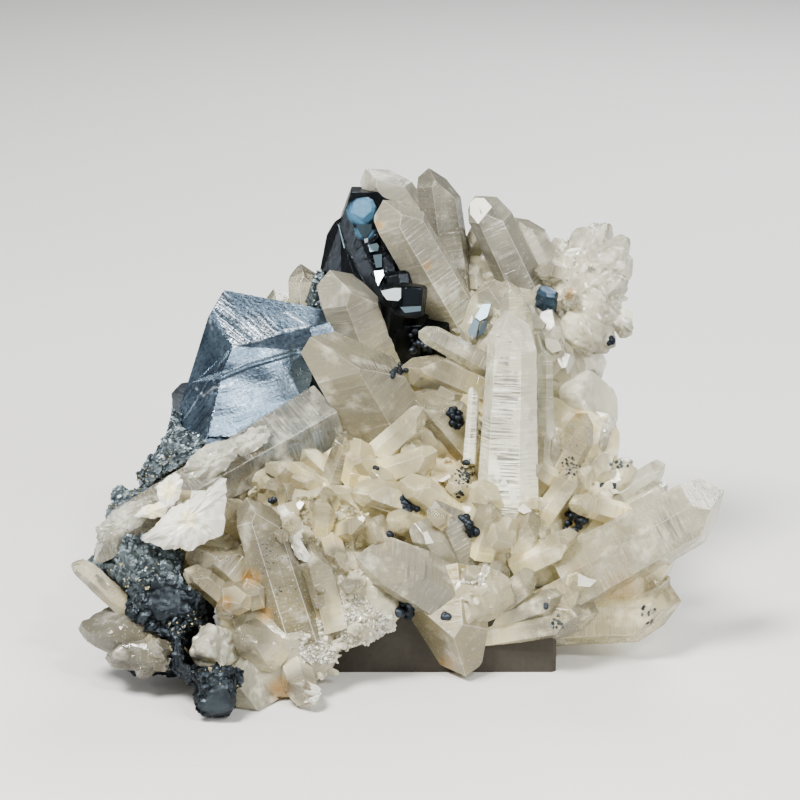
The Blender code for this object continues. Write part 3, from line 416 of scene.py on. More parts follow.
# White and icy plates in front of the crystals: outline and centre in the front view, depth, thickness and
# bulge
PLATES = {
    "petal_up": dict(
        outline=(
            (-42.6, -15.2), (-41.0, -13.6), (-39.2, -12.6), (-38.1, -13.9), (-38.3, -16.2), (-39.2, -18.0),
            (-40.6, -18.9), (-42.0, -17.6),
        ),
        centre=(-40.4, -15.8), depth=-11.6, thick=1.4, bulge=1.2),
    "petal_right": dict(
        outline=(
            (-40.0, -18.8), (-36.4, -17.4), (-36.6, -16.0), (-33.6, -15.8), (-31.8, -13.9), (-30.2, -13.5),
            (-30.4, -17.4), (-31.0, -23.6), (-33.8, -24.9), (-36.9, -26.5), (-38.6, -25.8), (-41.0, -26.4),
            (-43.6, -25.0), (-45.2, -24.6), (-45.2, -23.9), (-42.6, -21.6),
        ),
        centre=(-37.2, -20.9), depth=-12.4, thick=1.8, bulge=2.2),
    "petal_left": dict(
        outline=(
            (-40.4, -18.6), (-41.8, -17.8), (-44.6, -18.6), (-46.8, -20.2), (-44.0, -20.8), (-41.4, -20.2),
        ),
        centre=(-43.0, -19.4), depth=-11.6, thick=1.2, bulge=0.8),
    "blade": dict(
        outline=(
            (-21.4, -18.7), (-20.5, -18.3), (-18.2, -20.1), (-16.7, -22.0), (-16.9, -23.2), (-17.3, -24.0),
            (-17.0, -25.4), (-16.4, -26.8), (-15.0, -28.2), (-15.5, -28.8), (-16.9, -28.2), (-18.1, -27.6),
            (-18.8, -26.2), (-19.8, -23.4), (-20.8, -20.6),
        ),
        centre=(-18.1, -23.4), depth=-12.0, thick=1.6, bulge=0.9),
    "ice_high": dict(
        outline=(
            (-37.4, -10.9), (-35.4, -8.6), (-32.6, -7.2), (-29.4, -6.7), (-28.0, -8.1), (-28.7, -10.2),
            (-30.5, -12.3), (-33.6, -14.0), (-36.4, -14.7), (-38.0, -13.0),
        ),
        centre=(-33.0, -10.6), depth=-4.0, thick=2.4, bulge=1.1, white=0.45),
    "ice_middle": dict(
        outline=(
            (-29.6, -7.2), (-26.4, -5.0), (-23.4, -4.4), (-22.6, -6.4), (-24.6, -8.6), (-28.0, -10.0),
        ),
        centre=(-26.2, -7.0), depth=-1.1, thick=2.4, bulge=0.6, white=0.5),
    "ice_low": dict(
        outline=(
            (-53.2, -22.4), (-50.4, -19.8), (-46.9, -17.7), (-43.8, -16.6), (-42.4, -18.0), (-43.8, -20.5),
            (-46.7, -22.9), (-50.4, -25.0), (-53.0, -25.2),
        ),
        centre=(-48.0, -20.8), depth=-9.8, thick=2.4, bulge=0.8, white=0.3),
}
PLATE_RINGS = 7
PLATE_REACH = 5
RIM_STEPS = 5
RIM_WAVE = 0.22

# Dark beads and glittering chips on the quartz in the front view: middle, spread, how many, and radius
BEAD_PATCHES = {
    "above_tower": (36.9, 10.2, 0.8, 5, 0.55),
    "spear_root": (35.5, -15.1, 0.5, 3, 0.5),
    "spear_brown": (37.5, -14.9, 0.5, 3, 0.45),
    "low_pair": (25.4, -35.9, 0.5, 3, 0.42),
    "cavity": (1.0, -36.9, 1.3, 26, 0.85),
    "cavity_small": (8.3, -38.0, 0.6, 7, 0.55),
    "front_bead": (-1.9, -23.8, 0.3, 2, 0.55),
    "middle_bead": (-4.2, -11.9, 0.3, 2, 0.4),
    "needle_bead": (11.7, -11.0, 0.4, 3, 0.45),
    "left_bead": (-22.4, -17.5, 0.5, 4, 0.5),
    "string": (10.6, -16.4, 1.3, 12, 0.24),
    "cog_foot": (0.0, 5.0, 1.2, 16, 0.5),
}
CHIP_PATCHES = {
    "peppery": (-23.8, -27.0, 4.2, 34, 0.11),
    "peppery_low": (-20.6, -33.5, 3.4, 18, 0.11),
    "right_specks": (44.0, -37.6, 1.6, 14, 0.22),
    "green_specks": (27.6, -38.8, 1.0, 12, 0.25),
    "fan_specks": (38.6, -11.2, 1.0, 10, 0.24),
    "glitter_low": (11.5, -13.2, 1.6, 60, 0.2),
    "glitter_right": (30.2, -11.6, 2.2, 40, 0.16),
}
FLECK_SIZES = (0.7, 1.25)
FLECK_LEAN = 0.5
# How bright a chip is painted at most, as a glint
FLECK_GLINT = 0.4
# How far a grain's middle is above the surface, in parts of its size
GRAIN_LIFT = 0.15
CHIP_CUTS = (0.3, 0.42)
BEADS = 26
BEAD_RADII = (0.35, 0.8)
BEAD_SINK = 0.55

# The large bournonite in the front view: a line on its top face that the streaks run along, the ends of its
# front edge, where the streaks are, the edges along which it is painted bright as a highlight, and the ridge
# that steps its front face
TOP_RUN = ((-32.7, 17.5, 18.7), (-22.9, 9.5, 8.1))
FRONT_RUN = ((-29.4, 9.6, 7), (-15.6, 12.8, 14.6))
LARGE_CELL = 0.28 * MM
STREAKED = ((-33.4, 17.0), (-32.0, 13.6), (-29.4, 10.4), (-25.0, 11.4))
BRIGHT_EDGES = (
    ((-29.2, 9.4), (-24.1, 10.6), (-20.6, 12.1), (-16.1, 12.9), (-20.1, 15.4)),
    ((-36.2, 2.6), (-34.3, 0.7), (-32.7, 2.1), (-29.9, 2.5), (-28.9, 3.5)),
    ((-33.6, 15.4), (-32.9, 12.4)),
)
RIDGE = ((-32.2, 3.5), (-28.9, 4.9), (-26.1, 6.1), (-18.0, 8.4))
# The front face, whose grooves between the solid's blocks are filled up: corners with their depth
FRONT_FACE = ((-29.3, 9.5, 6.9), (-16.0, 12.7, 14.0), (-31.2, 4.9, 4.9), (-14.4, 8.4, 12.0),
              (-33.8, -6.5, 1.2), (-17.5, -6.5, 7.0))
FACE_FILL = 6.0
# The corner where the crystal's three front faces meet, and the far ends of the edges between them
FACE_CORNER = (-29.3, 9.5)
FRONT_EDGE = (-16.0, 12.7)
TOP_LEFT_EDGE = (-33.4, 17.6)
LOW_LEFT_EDGE = (-36.2, 2.8)

TOP_STEP = 0.7
FRONT_STEP = 0.9
RIDGE_DROP = 0.6

# The other dark minerals: how fine their meshes are, their steps, and the line that the steps cross
COG_CELL = 0.24 * MM
COG_RUN = ((-3.6, 19.8, 19), (-12.9, 28.6, 28))
COG_STEP = 1.6
SMALL_CELL = 0.16 * MM
SMALL_STEP = 0.7

# Painted glints of the cogwheel group: facets in the front view whose colour stands in for how brightly they
# mirror the light, as corners in photo pixels, and how bright each is
COG_GLINT_FACETS = (
    (((356, 225), (372, 224), (371, 232), (366, 238), (362, 237)), 0.20),
    (((364, 239), (368, 238), (368, 242), (365, 243)), 0.70),
    (((368, 245), (377, 243), (379, 246), (378, 251), (370, 252)), 0.45),
    (((373, 255), (382, 254), (382, 267), (376, 268)), 0.24),
    (((374, 271), (383, 270), (384, 275), (380, 282), (378, 286), (376, 280)), 0.80),
    (((381, 291), (394, 288), (401, 288), (401, 298), (398, 301), (387, 300), (383, 295)), 0.92),
    (((402, 289), (415, 288), (419, 293), (419, 304), (403, 304)), 0.03),
    (((400, 307), (421, 306), (421, 311), (405, 313)), 0.34),
    (((338, 225), (339, 224), (345, 248), (344, 249)), 0.30),
)
# Painted glints of the quartz: facets in the front view coloured white where they mirrored the light, as
# corners in photo pixels, and how white each is
QUARTZ_GLINT_FACETS = (
    (((499, 485), (504, 477), (508, 484), (505, 486)), 0.8),
    (((508, 492), (514, 488), (518, 496), (512, 505)), 0.8),
    (((517, 510), (523, 503), (532, 511), (524, 514)), 0.7),
    (((438, 481), (449, 474), (451, 477), (443, 482)), 0.8),
    (((423, 533), (427, 531), (434, 543), (426, 544)), 0.7),
    (((578, 573), (588, 578), (597, 580), (590, 587), (578, 586)), 0.75),
    (((610, 489), (616, 489), (620, 493), (613, 494)), 0.8),
    (((470, 203), (475, 198), (484, 198), (492, 207), (478, 224), (470, 214)), 0.9),
    (((545, 338), (558, 340), (562, 350), (552, 353), (546, 347)), 0.7),
)
# A silvery strip between the crystals above the tower
SILVER_FACETS = (
    (((471, 339), (468, 331), (474, 318), (479, 322), (476, 337)), 0.36),
    (((475, 317), (483, 304), (491, 304), (487, 317), (480, 321)), 0.46),
    (((478, 336), (481, 324), (487, 319), (484, 334)), 0.30),
)
PIXEL = 0.175
PHOTO_MIDDLE = 400
FACET_DEPTH = 0.8 * MM

# The sulphide: its mesh, its knobs and grains, and between which heights of the front view it is painted
# lighter, as light falling from above
MATRIX_CELL = 0.44 * MM
KNOB_SIZE = 2.6
KNOB_GRAIN = 1.05
CRUST_GRAINS = 7200
BACK_CRUST = 0.35
BESIDE_QUARTZ = 0.2 * MM
GRAIN_SIZES = (-1.15, 0.3)
GRAIN_WIDTHS = (0.7, 1.3)
GRAIN_LEAN = 0.8
LOWEST_GRAIN = 1.2 * MM
GOLDEN_SHARE = 0.3
LIT_FROM = (-36, -28)
# Smooth dark faces of the sulphide and its golden places in the front view: middle and radius
FLAT_FACES = ((-41.0, -35.4, 3.8), (-52.0, -31.8, 1.8), (-31.0, -53.6, 3.6))
GOLDEN = ((-41.4, -10.4, 2.2), (-45.0, -14.4, 3.2), (-49.0, -17.6, 2.6), (-44.8, -31.0, 3.6),
          (-37.6, -39.2, 2.8), (-48.6, -29.4, 2.4), (-33.0, -48.0, 2.4), (-29.8, -51.0, 1.6))

# Rusty and amber spots of the quartz in the front view: middle, radius and strength
RUSTY = {
    "foot": (8.2, -46.4, 2.4, 0.5),
    "left_of_leaning": (-26.2, -31.2, 2.4, 0.9),
    "triangle": (-30.3, -35.4, 1.8, 0.9),
    "sliver": (-23.6, -37.6, 2.0, 0.6),
    "low_brown": (-20.8, -50.6, 3.2, 0.8),
    "tan_patch": (8.2, -11.6, 4.2, 0.25),
    "diagonal_high": (-3.7, 30.6, 1.2, 0.8),
    "diagonal_low": (4.8, 23.6, 1.4, 0.8),
    "fan_spot": (29.8, 18.4, 1.6, 0.8),
    "spear_root": (38.5, -33.0, 4.0, 0.45),
    "bar_spot": (31.0, -2.6, 1.6, 0.5),
}
# Places of the front view where dark growth lines cross a crystal: middle and radius
DARK_LINED = {
    "spear": (47.4, -22.2, 5.0),
    "front_block": (3.4, -30.0, 4.0),
    "pointed": (-14.0, 13.0, 3.0),
    "stub": (-3.0, 5.0, 5.0),
    "tower": (16.6, -6.0, 5.0),
    "bar": (-22.0, -4.0, 5.0),
}

# Colours, from dark to light where there are more than one
COOL_QUARTZ = ((0.11, 0.107, 0.085), (0.42, 0.41, 0.32), (0.94, 0.93, 0.79))
WARM_QUARTZ = ((0.12, 0.098, 0.05), (0.46, 0.385, 0.19), (0.95, 0.82, 0.42))
# The clearest quartz, where it is cool and where it is warm
CLEAREST = ((0.92, 0.91, 0.84), (0.98, 0.92, 0.70))
SMOKE = (0.20, 0.19, 0.17)
MILK = (0.86, 0.85, 0.79)
RUST = (0.62, 0.36, 0.10)
PALE_SPECK = (0.90, 0.89, 0.83)
WHITE_LINE = (0.97, 0.97, 0.92)
DARK_LINE = (0.13, 0.13, 0.12)
# White of worn edges, partly wear and partly painted highlight; it also whitens the sugary crystals, the
# plates and the painted glint facets of the quartz
WEAR_AND_HIGHLIGHT_WHITE = (0.95, 0.94, 0.89)
QUARTZ_TINT = (0.92, 0.88, 0.76)
QUARTZ_DENSITY = 10.0
QUARTZ_IOR = 1.544
# Colours painted in as highlights on the bournonite and the sulphide
STEEL_GLINT = (0.8, 0.85, 0.9)
LEAD_GLINT = (0.17, 0.205, 0.22)
# The cogwheel's dark colour, and the lighter one painted on its steps as highlight
COG_DARK = ((0.028, 0.032, 0.037), (0.06, 0.072, 0.088))
# Painted sky-blue reflection of the cogwheel's scooped places
COG_BLUE_SHEEN = (0.07, 0.17, 0.26)
# The scooped places of the cogwheel group with a painted sky-blue reflection: middle, and how far from it the
# blue ends
BLUE_SHEEN_SCOOPS = (((-6.6, 33.4, 24), 2.2, 3.6), ((-6.2, 29.6, 23.4), 1.0, 2.2))
# Colours of the facets, from dark blue to nearly white: on the cogwheel group they are painted glints and
# reflections
FACET_SHEEN_BLUES = ((0.015, 0.02, 0.026), (0.20, 0.28, 0.33), (0.80, 0.88, 0.90))
# The grains: their grey from the low part to the high part as painted shade and light, their painted glint,
# and their gold
GRAIN_GREYS = ((0.024, 0.028, 0.032), (0.20, 0.24, 0.26))
GRAIN_GLINT = (0.38, 0.44, 0.46)
GRAIN_GOLD = (0.50, 0.43, 0.27)
# The block's grey-brown, darkened a little as painted shade
SHADED_BLOCK_BROWNS = ((0.045, 0.040, 0.031), (0.078, 0.069, 0.054))
FLOOR_COLOUR = (0.78, 0.77, 0.75)
FLOOR_SIZE = 2.0

# Soft lights: place and size in metres, power in watts, and colour
LIGHT_AIM = Vector((0, 0, 0.04))
LIGHTS = {
    "key": ((-0.25, -0.30, 0.60), (0.20, 0.20), 6.6, (1.0, 0.98, 0.95)),
    "fill": ((0.45, -0.42, 0.38), (0.30, 0.30), 2.3, (1, 1, 1)),
    "rim": ((0.20, 0.50, 0.45), (0.40, 0.25), 3.0, (0.95, 0.98, 1.0)),
    "glint": ((0.22, -0.42, 0.52), (0.06, 0.06), 1.2, (1, 1, 1)),
    "strip": ((-0.55, -0.15, 0.20), (0.05, 0.40), 1.2, (1, 1, 1)),
}


def seen(across, up, away=0):
    """The place of a point of the front view, which is given in millimetres."""
    spread = MM * (1 + away * MM / EYE_DISTANCE)
    return VIEW_MIDDLE + ACROSS * across * spread + UP * up * spread + AWAY * away * MM


def viewed(place):
    """How far across and up a place is in the front view, in millimetres."""
    offset = place - VIEW_MIDDLE
    spread = MM * (1 + offset.dot(AWAY) / EYE_DISTANCE)
    return offset.dot(ACROSS) / spread, offset.dot(UP) / spread


def struck(tree, across, up):
    """Where the line of sight through a point of the front view meets a surface: place, normal and face."""
    return tree.ray_cast(EYE, (seen(across, up) - EYE).normalized())[:3]


def smooth(value, low, high):
    """0 below a low value and 1 above a high one, with a soft step between."""
    share = min(1.0, max(0.0, (value - low) / (high - low)))
    return share * share * (3 - 2 * share)


def in_circles(across, up, circles):
    """Whether a point of the front view is in one of some circles."""
    return any(math.hypot(across - middle, up - height) < radius for middle, height, radius in circles)


def scattered(draw, *limits):
    """A vector whose three parts are drawn at random."""
    return Vector((draw(*limits), draw(*limits), draw(*limits)))


def leaning(chance, normal, lean):
    """A direction near a normal."""
    return (normal + scattered(chance.gauss, 0, lean)).normalized()


def cut(solid, place, normal, clear=False):
    """Cut a solid's faces along a plane, and give its open edges. With clear, all beyond the plane goes."""
    everything = solid.verts[:] + solid.edges[:] + solid.faces[:]
    bmesh.ops.bisect_plane(solid, geom=everything, dist=SAME_PLACE, plane_co=place, plane_no=normal,
                           clear_outer=clear)
    return [edge for edge in solid.edges if edge.is_boundary]


def cut_from_cube(planes, middle, reach):
    """The convex solid left of a cube when each plane, a place and a normal, cuts off what is beyond it."""
    solid = bmesh.new()
    bmesh.ops.create_cube(solid, size=2 * reach, matrix=Matrix.Translation(middle))
    for place, normal in planes:
        rim = cut(solid, place, normal, clear=True)
        if rim:
            bmesh.ops.edgeloop_fill(solid, edges=rim)
    bmesh.ops.recalc_face_normals(solid, faces=solid.faces)
    return solid


def around(axis):
    """Two directions across an axis, of which the first one faces the eye."""
    front = (-AWAY + axis * AWAY.dot(axis)).normalized()
    return front, axis.cross(front)


def spire(name, root, tip, width, roll=0, taper=0.1, chisel=0.25, flat=1.0):
    """A quartz crystal: six long faces and a six-faced point, with the unequal faces of a real one."""
    chance = random.Random(name)
    length = (tip - root).length
    axis = (tip - root) / length
    front, side = around(axis)
    turns = [math.radians(roll + 60 * face) for face in range(6)]
    widest = max(abs(math.sin(turn + HALF_SIDE)) for turn in turns)
    reach_to_face = width * MM / 2 / widest * math.cos(HALF_SIDE)
    sides = []
    point = []
    for face, turn in enumerate(turns):
        outward = front * math.cos(turn) + side * math.sin(turn)
        distance = reach_to_face * chance.uniform(*UNEVEN_SIDES)
        distance *= flat if face in (0, 3) else 1
        slope = (outward + axis * distance * taper / length).normalized()
        sides.append((root + outward * distance, slope))
        rhomb = axis * math.cos(RHOMB_TILT) + outward * math.sin(RHOMB_TILT)
        drop = chance.uniform(*(LARGE_FACE_DROP if face % 2 else SMALL_FACE_DROP))
        drop += chisel if face == 1 else 0
        point.append((drop * width * MM, rhomb))

    def cut_with_point(raised):
        faces = [(tip + axis * (raised - drop), rhomb) for drop, rhomb in point]
        return cut_from_cube([(root, -axis)] + sides + faces, (root + tip) / 2, length * 1.5 + width * MM)

    # A first cut shows how far the lowered faces shorten the crystal, and the second makes up for it.
    trial = cut_with_point(0.0)
    reached = max((vert.co - root).dot(axis) for vert in trial.verts)
    trial.free()
    return cut_with_point(length - reached)


def in_order(solid):
    """A copy of a solid with its faces in the order of their corners. A bevel mixes them at each run."""
    solid.verts.index_update()
    faces = []
    for face in solid.faces:
        corners = [vert.index for vert in face.verts]
        first = corners.index(min(corners))
        faces.append((corners[first:] + corners[:first], face.material_index))
    ordered = bmesh.new()
    verts = [ordered.verts.new(vert.co) for vert in solid.verts]
    for corners, material in sorted(faces):
        ordered.faces.new([verts[index] for index in corners]).material_index = material
    solid.free()
    return ordered


def edges_bevelled_for_highlight(solid, width):
    """A crystal with its edges bevelled as wear, and the bevels marked with the second material, which the
    quartz colour whitens as a painted edge highlight.
    """
    wear = min(EDGE_WEAR, width * MM * EDGE_WEAR_SHARE)
    wear_and_highlight = bmesh.ops.bevel(solid, geom=solid.edges[:], offset=wear, segments=1, affect="EDGES",
                           clamp_overlap=True)
    for face in wear_and_highlight["faces"]:
        face.material_index = 1
    return in_order(solid)


def banded(solid, name, root, tip, width):
    """Wear a crystal's edges and cut growth bands, which are thin ledges, into its sides."""
    chance = random.Random(name + " bands")
    length = (tip - root).length
    axis = (tip - root) / length
    front, side = around(axis)
    solid = edges_bevelled_for_highlight(solid, width)
    columns = BAND_COLUMNS if width > BROAD else 0
    for column in range(columns):
        turn = math.pi * (column + FIRST_COLUMN) / columns
        cut(solid, root, front * math.cos(turn) + side * math.sin(turn))
    heights = []
    height = 0.0
    while height < length - BARE_POINT * width * MM:
        height += BAND_HEIGHT * chance.uniform(*BAND_HEIGHTS)
        heights.append(height)
    for height in heights:
        cut(solid, root + axis * height, axis)
        cut(solid, root + axis * (height + LEDGE), axis)
    seed = chance.uniform(0, 100)
    for vert in solid.verts:
        height = (vert.co - root).dot(axis)
        outward = vert.co - root - axis * height
        if outward.length < MIDDLE_OF_BASE:
            continue
        outward.normalize()
        band = bisect.bisect_left(heights, height - LEDGE / 2)
        value = noise.noise(Vector((seed + band * BAND_CHANGE, outward.dot(front) * BAND_WAVES,
                                    outward.dot(side) * BAND_WAVES)))
        fade = min(1.0, max(0.0, (length - height) / (BAND_FADE * width * MM)))
        vert.co -= outward * BAND_DEPTH * (0.5 + value) * fade
    return solid


def look_at_part(place):
    """How light and how warm the quartz is at a place, with painted light and shade in the lightness."""
    across, up = viewed(place)
    lightness = warmth = total = 0.0
    for part_across, part_up, light, warm in PARTS.values():
        gap = math.hypot(across - part_across, up - part_up)
        share = math.exp(-gap / PART_REACH)
        lightness += light * share
        warmth += warm * share
        total += share
    return lightness / total, warmth / total


def marks(solid):
    """The maps that hold a corner's nature and finish, for the materials to read."""
    return [solid.loops.layers.float_vector.new(name) for name in ("nature", "finish")]


def mapped(solid, name, root, tip, width, clear=None, kind=CRYSTAL):
    """Lay a crystal's own coordinates, nature and finish on its corners."""
    chance = random.Random(name + " nature")
    length = (tip - root).length
    axis = (tip - root) / length
    front, side = around(axis)
    tone, warmth = OWN_LOOKS.get(name) or look_at_part(root.lerp(tip, LOOK_SPOT))
    tone += chance.uniform(-TONE_SPREAD, TONE_SPREAD)
    if clear is None:
        clear = CLEAR.get(name, USUAL_CLEAR)
    frost = FROST.get(name, USUAL_FROST)
    milky_part = MILKY_PART_OF_GLASSY if name in GLASSY else MILKY_PART
    solid.normal_update()
    grain = solid.loops.layers.uv.new("grain")
    nature, finish = marks(solid)
    shift = chance.uniform(0, MAP_SHIFT)
    for face in solid.faces:
        in_front = smooth(-face.normal.dot(AWAY), *FACING_FRONT)
        face_frost = frost * (OFF_FRONT_FROST + (1 - OFF_FRONT_FROST) * in_front)
        place = face.calc_center_median() - root
        middle_turn = math.atan2(place.dot(side), place.dot(front))
        for loop in face.loops:
            place = loop.vert.co - root
            turn = math.atan2(place.dot(side), place.dot(front))
            turn = middle_turn + (turn - middle_turn + math.pi) % (2 * math.pi) - math.pi
            height = place.dot(axis)
            loop[grain].uv = (turn * width / 2 + shift, height / MM + shift)
            rise = smooth(height / length, milky_part, milky_part + CLEARING)
            loop[nature] = Vector((clear * rise, tone, kind))
            # The finish's second part marks the bevelled edges, which the quartz colour whitens as partly wear
            # and partly painted highlight
            loop[finish] = Vector((face_frost, face.material_index, warmth))
        face.material_index = 0
    return solid


def lump_planes(name, sizes):
    """The outward directions and distances of the planes that bound a lump of massive quartz."""
    chance = random.Random(name)
    across, up, away = (size * MM for size in sizes)
    planes = []
    for number in range(LUMP_FACES):
        height = 1 - 2 * (number + 0.5) / LUMP_FACES
        ring = math.sqrt(1 - height * height)
        turn = number * GOLDEN_TURN + chance.uniform(*LUMP_TURNS)
        height += chance.uniform(*LUMP_TILTS)
        normal = Vector((ring * math.cos(turn), height, ring * math.sin(turn))).normalized()
        reach = math.sqrt((normal.x * across) ** 2 + (normal.y * up) ** 2 + (normal.z * away) ** 2)
        outward = ACROSS * normal.x + UP * normal.y + AWAY * normal.z
        planes.append((outward, reach * chance.uniform(*LUMP_CUTS)))
    return planes


def plain_lump(name, middle, sizes):
    """A lump of massive quartz with flat faces."""
    planes = [(middle + outward * distance, outward) for outward, distance in lump_planes(name, sizes)]
    return cut_from_cube(planes, middle, 2 * max(sizes) * MM)


def waves(place, table):
    """A soft random height in millimetres, from waves of some lengths and heights."""
    return sum(noise.noise(place / MM / length) * height for length, height in table)


def knobs(place):
    """The relief of quartz whose surface is dissolved a little."""
    return waves(place, KNOB_WAVES) * MM


def bumps(place):
    """The relief of frosty quartz: bumps with small pits between them."""
    pit = 1 - smooth(noise.voronoi(place / MM / PIT_GAP)[0][0], *PIT_RIM)
    return (waves(place, BUMP_WAVES) - pit * PIT_DEPTH) * MM


def small_faces(place):
    """The relief of massive quartz: small tilted faces."""
    seed = noise.voronoi(place / FACET_SIZE)[1][0]
    tilt = noise.noise_vector(seed * FACET_CHANGE).normalized()
    return (place / FACET_SIZE - seed).dot(tilt) * FACET_SIZE * FACET_TILT - FACET_SINK


# The surfaces of rounded quartz: how fine the mesh is, how closely it keeps to its planes, and its relief
DISSOLVED = (4, 18, knobs)
BUMPY = (5, 10, bumps)
MASSIVE = (4, 14, small_faces)


def ball_to_planes(planes, middle, detail, power, relief):
    """A ball drawn out nearly to the planes around it, which are outward directions and distances."""
    ball = bmesh.new()
    bmesh.ops.create_icosphere(ball, subdivisions=detail, radius=1)
    for vert in ball.verts:
        way = vert.co.normalized()
        pull = sum(max(0.0, way.dot(outward) / distance) ** power for outward, distance in planes)
        place = middle + way * pull ** (-1 / power)
        vert.co = place + way * relief(place)
    bmesh.ops.recalc_face_normals(ball, faces=ball.faces)
    return ball


def rounded(solid, surface):
    """A crystal with its edges dissolved round, and a relief on its faces."""
    middle = sum((vert.co for vert in solid.verts), Vector()) / len(solid.verts)
    planes = [(face.normal.copy(), (face.calc_center_median() - middle).dot(face.normal))
              for face in solid.faces]
    solid.free()
    return ball_to_planes(planes, middle, *surface)


def rough_lump(name, middle, sizes):
    """A lump of massive quartz with its relief."""
    surface = BUMPY if name.startswith(FROSTY) else DISSOLVED if name in SMOOTH_LUMPS else MASSIVE
    solid = ball_to_planes(lump_planes(name, sizes), middle, *surface)
    return mapped(solid, name, middle - UP * LUMP_FOOT * MM, middle + UP * LUMP_HEAD * MM, LUMP_WIDTH,
                  LUMP_CLEAR, UNSHAPED)


def finished_spire(name, shape):
    """A crystal with the surface that its kind has."""
    place = (name, shape["root"], shape["tip"], shape["width"])
    solid = spire(name, **shape)
    if name.startswith(FROSTY):
        return mapped(rounded(solid, BUMPY), *place, clear=FROSTY_CLEAR)
    if name.startswith(ROUNDED):
        return mapped(rounded(solid, DISSOLVED), *place)
    if name.startswith("growth"):
        return mapped(edges_bevelled_for_highlight(solid, shape["width"]), *place, clear=GROWTH_CLEAR)
    return mapped(banded(solid, *place), *place)


def linked(name, data):
    """A mesh, light or camera as an object of the scene."""
    thing = bpy.data.objects.new(name, data)
    bpy.context.scene.collection.objects.link(thing)
    return thing


def as_object(name, solid):
    """Turn a bmesh into an object of the scene."""
    mesh = bpy.data.meshes.new(name)
    solid.to_mesh(mesh)
    solid.free()
    return linked(name, mesh)


def remove(thing):
    """Take an object and its mesh out of the file."""
    mesh = thing.data
    bpy.data.objects.remove(thing, do_unlink=True)
    bpy.data.meshes.remove(mesh)


def applied(thing):
    """Replace an object's mesh with what its modifiers make of it."""
    bpy.context.view_layer.update()
    graph = bpy.context.evaluated_depsgraph_get()
    mesh = bpy.data.meshes.new_from_object(thing.evaluated_get(graph))
    thing.modifiers.clear()
    old = thing.data
    thing.data = mesh
    bpy.data.meshes.remove(old)
    return thing


def joined(first, second):
    """One object from two that grow through each other."""
    union = first.modifiers.new("union", "BOOLEAN")
    union.operation = "UNION"
    union.solver = "MANIFOLD"
    union.object = second
    applied(first)
    remove(second)
    return first


def united(name, solids):
    """One object from solids that grow through each other, joined two by two in one order at each run."""
    things = [as_object(f"{name}_{number}", solid) for number, solid in enumerate(solids)]
    while len(things) > 1:
        pairs = [joined(*things[start:start + 2]) for start in range(0, len(things) - 1, 2)]
        things = pairs + things[2 * len(pairs):]
    things[0].name = name
    return things[0]


def above_floor(thing):
    """Cut off what an object has below the floor, and close the cut."""
    solid = bmesh.new()
    solid.from_mesh(thing.data)
    rim = cut(solid, (0, 0, FLOOR_GAP), (0, 0, -1), clear=True)
    bmesh.ops.holes_fill(solid, edges=rim, sides=0)
    solid.to_mesh(thing.data)
    solid.free()
    return thing


def tree_of(thing):
    """A search tree of an object's surface."""
    solid = bmesh.new()
    solid.from_mesh(thing.data)
    tree = BVHTree.FromBMesh(solid)
    solid.free()
    return tree


def named_spires(table):
    """The crystals of a table as spire() takes them, with their places in metres."""
    return {name: dict(zip(SPIRE_COLUMNS, (seen(*root), seen(*tip), *rest)))
            for name, (root, tip, *rest) in table.items()}


def grown_at(chance, place, normal, length, width, origin=None):
    """A small crystal that grows out of a surface, or lies on it and points away from an origin."""
    lean = Vector((chance.uniform(-1, 1), chance.uniform(-1, 1), chance.uniform(*SPROUT_RISE)))
    way = (normal + lean * SPROUT_LEAN).normalized()
    if origin:
        way = ((place - origin).normalized() + normal * GROWTH_LIFT + lean * GROWTH_LEAN).normalized()
        place = place - normal * width * MM * GROWTH_DEPTH
    size = chance.uniform(*SPROUT_SIZES)
    root = place - way * width * MM * SPROUT_DEPTH
    return dict(root=root, tip=place + way * length * size * MM, width=width * size,
                roll=chance.uniform(0, 60), taper=chance.uniform(*SPROUT_TAPERS))


def in_bare_place(place):
    """Whether a place is in a part of the front view that stays free of small growth."""
    return in_circles(*viewed(place), BARE_PLACES)


def sprouts(tree, front, behind, massive=None):
    """Small crystals all over the cluster: in the front view's patches, and around the back and the top.

    Where massive is given, they grow only on its surfaces, not on the large crystals, and stay inside
    the outline of the front view.
    """
    found = {}

    def grow(name, chance, place, normal, *sizes):
        on_massive = (massive is None
                      or massive.find_nearest(place)[3] < ON_SURFACE and not in_bare_place(place))
        if place.z > LOWEST_SPROUT and on_massive:
            crystal = grown_at(chance, place, normal, *sizes)
            if massive is None or tree.ray_cast(EYE, (crystal["tip"] - EYE).normalized())[0]:
                found[name] = crystal

    for patch, (left, right, low, high, count, length, width) in front.items():
        chance = random.Random(patch)
        origin = seen(*GROWTH_ORIGINS[patch]) if patch in GROWTH_ORIGINS else None
        for number in range(count):
            place, normal, _ = struck(tree, chance.uniform(left, right), chance.uniform(low, high))
            if place:
                grow(f"{patch}_{number}", chance, place, normal, length, width, origin)
    for patch, (count, length, width, lowest_turn, highest_turn) in behind.items():
        chance = random.Random(patch)
        for number in range(count):
            turn = math.radians(lowest_turn + (highest_turn - lowest_turn) * (number + 0.5) / count)
            rise = math.radians(chance.uniform(*BACK_RISE))
            way = Vector((math.cos(turn) * math.cos(rise), math.sin(turn) * math.cos(rise), math.sin(rise)))
            aim = BACK_AIM + Vector((chance.uniform(-1, 1), 0, chance.uniform(-1, 1))) * BACK_SPREAD
            place, normal, _, _ = tree.ray_cast(aim + way * EYE_DISTANCE, -way)
            if place and place.y > BACK_START:
                grow(f"{patch}_{number}", chance, place, normal, length, width)
    return found


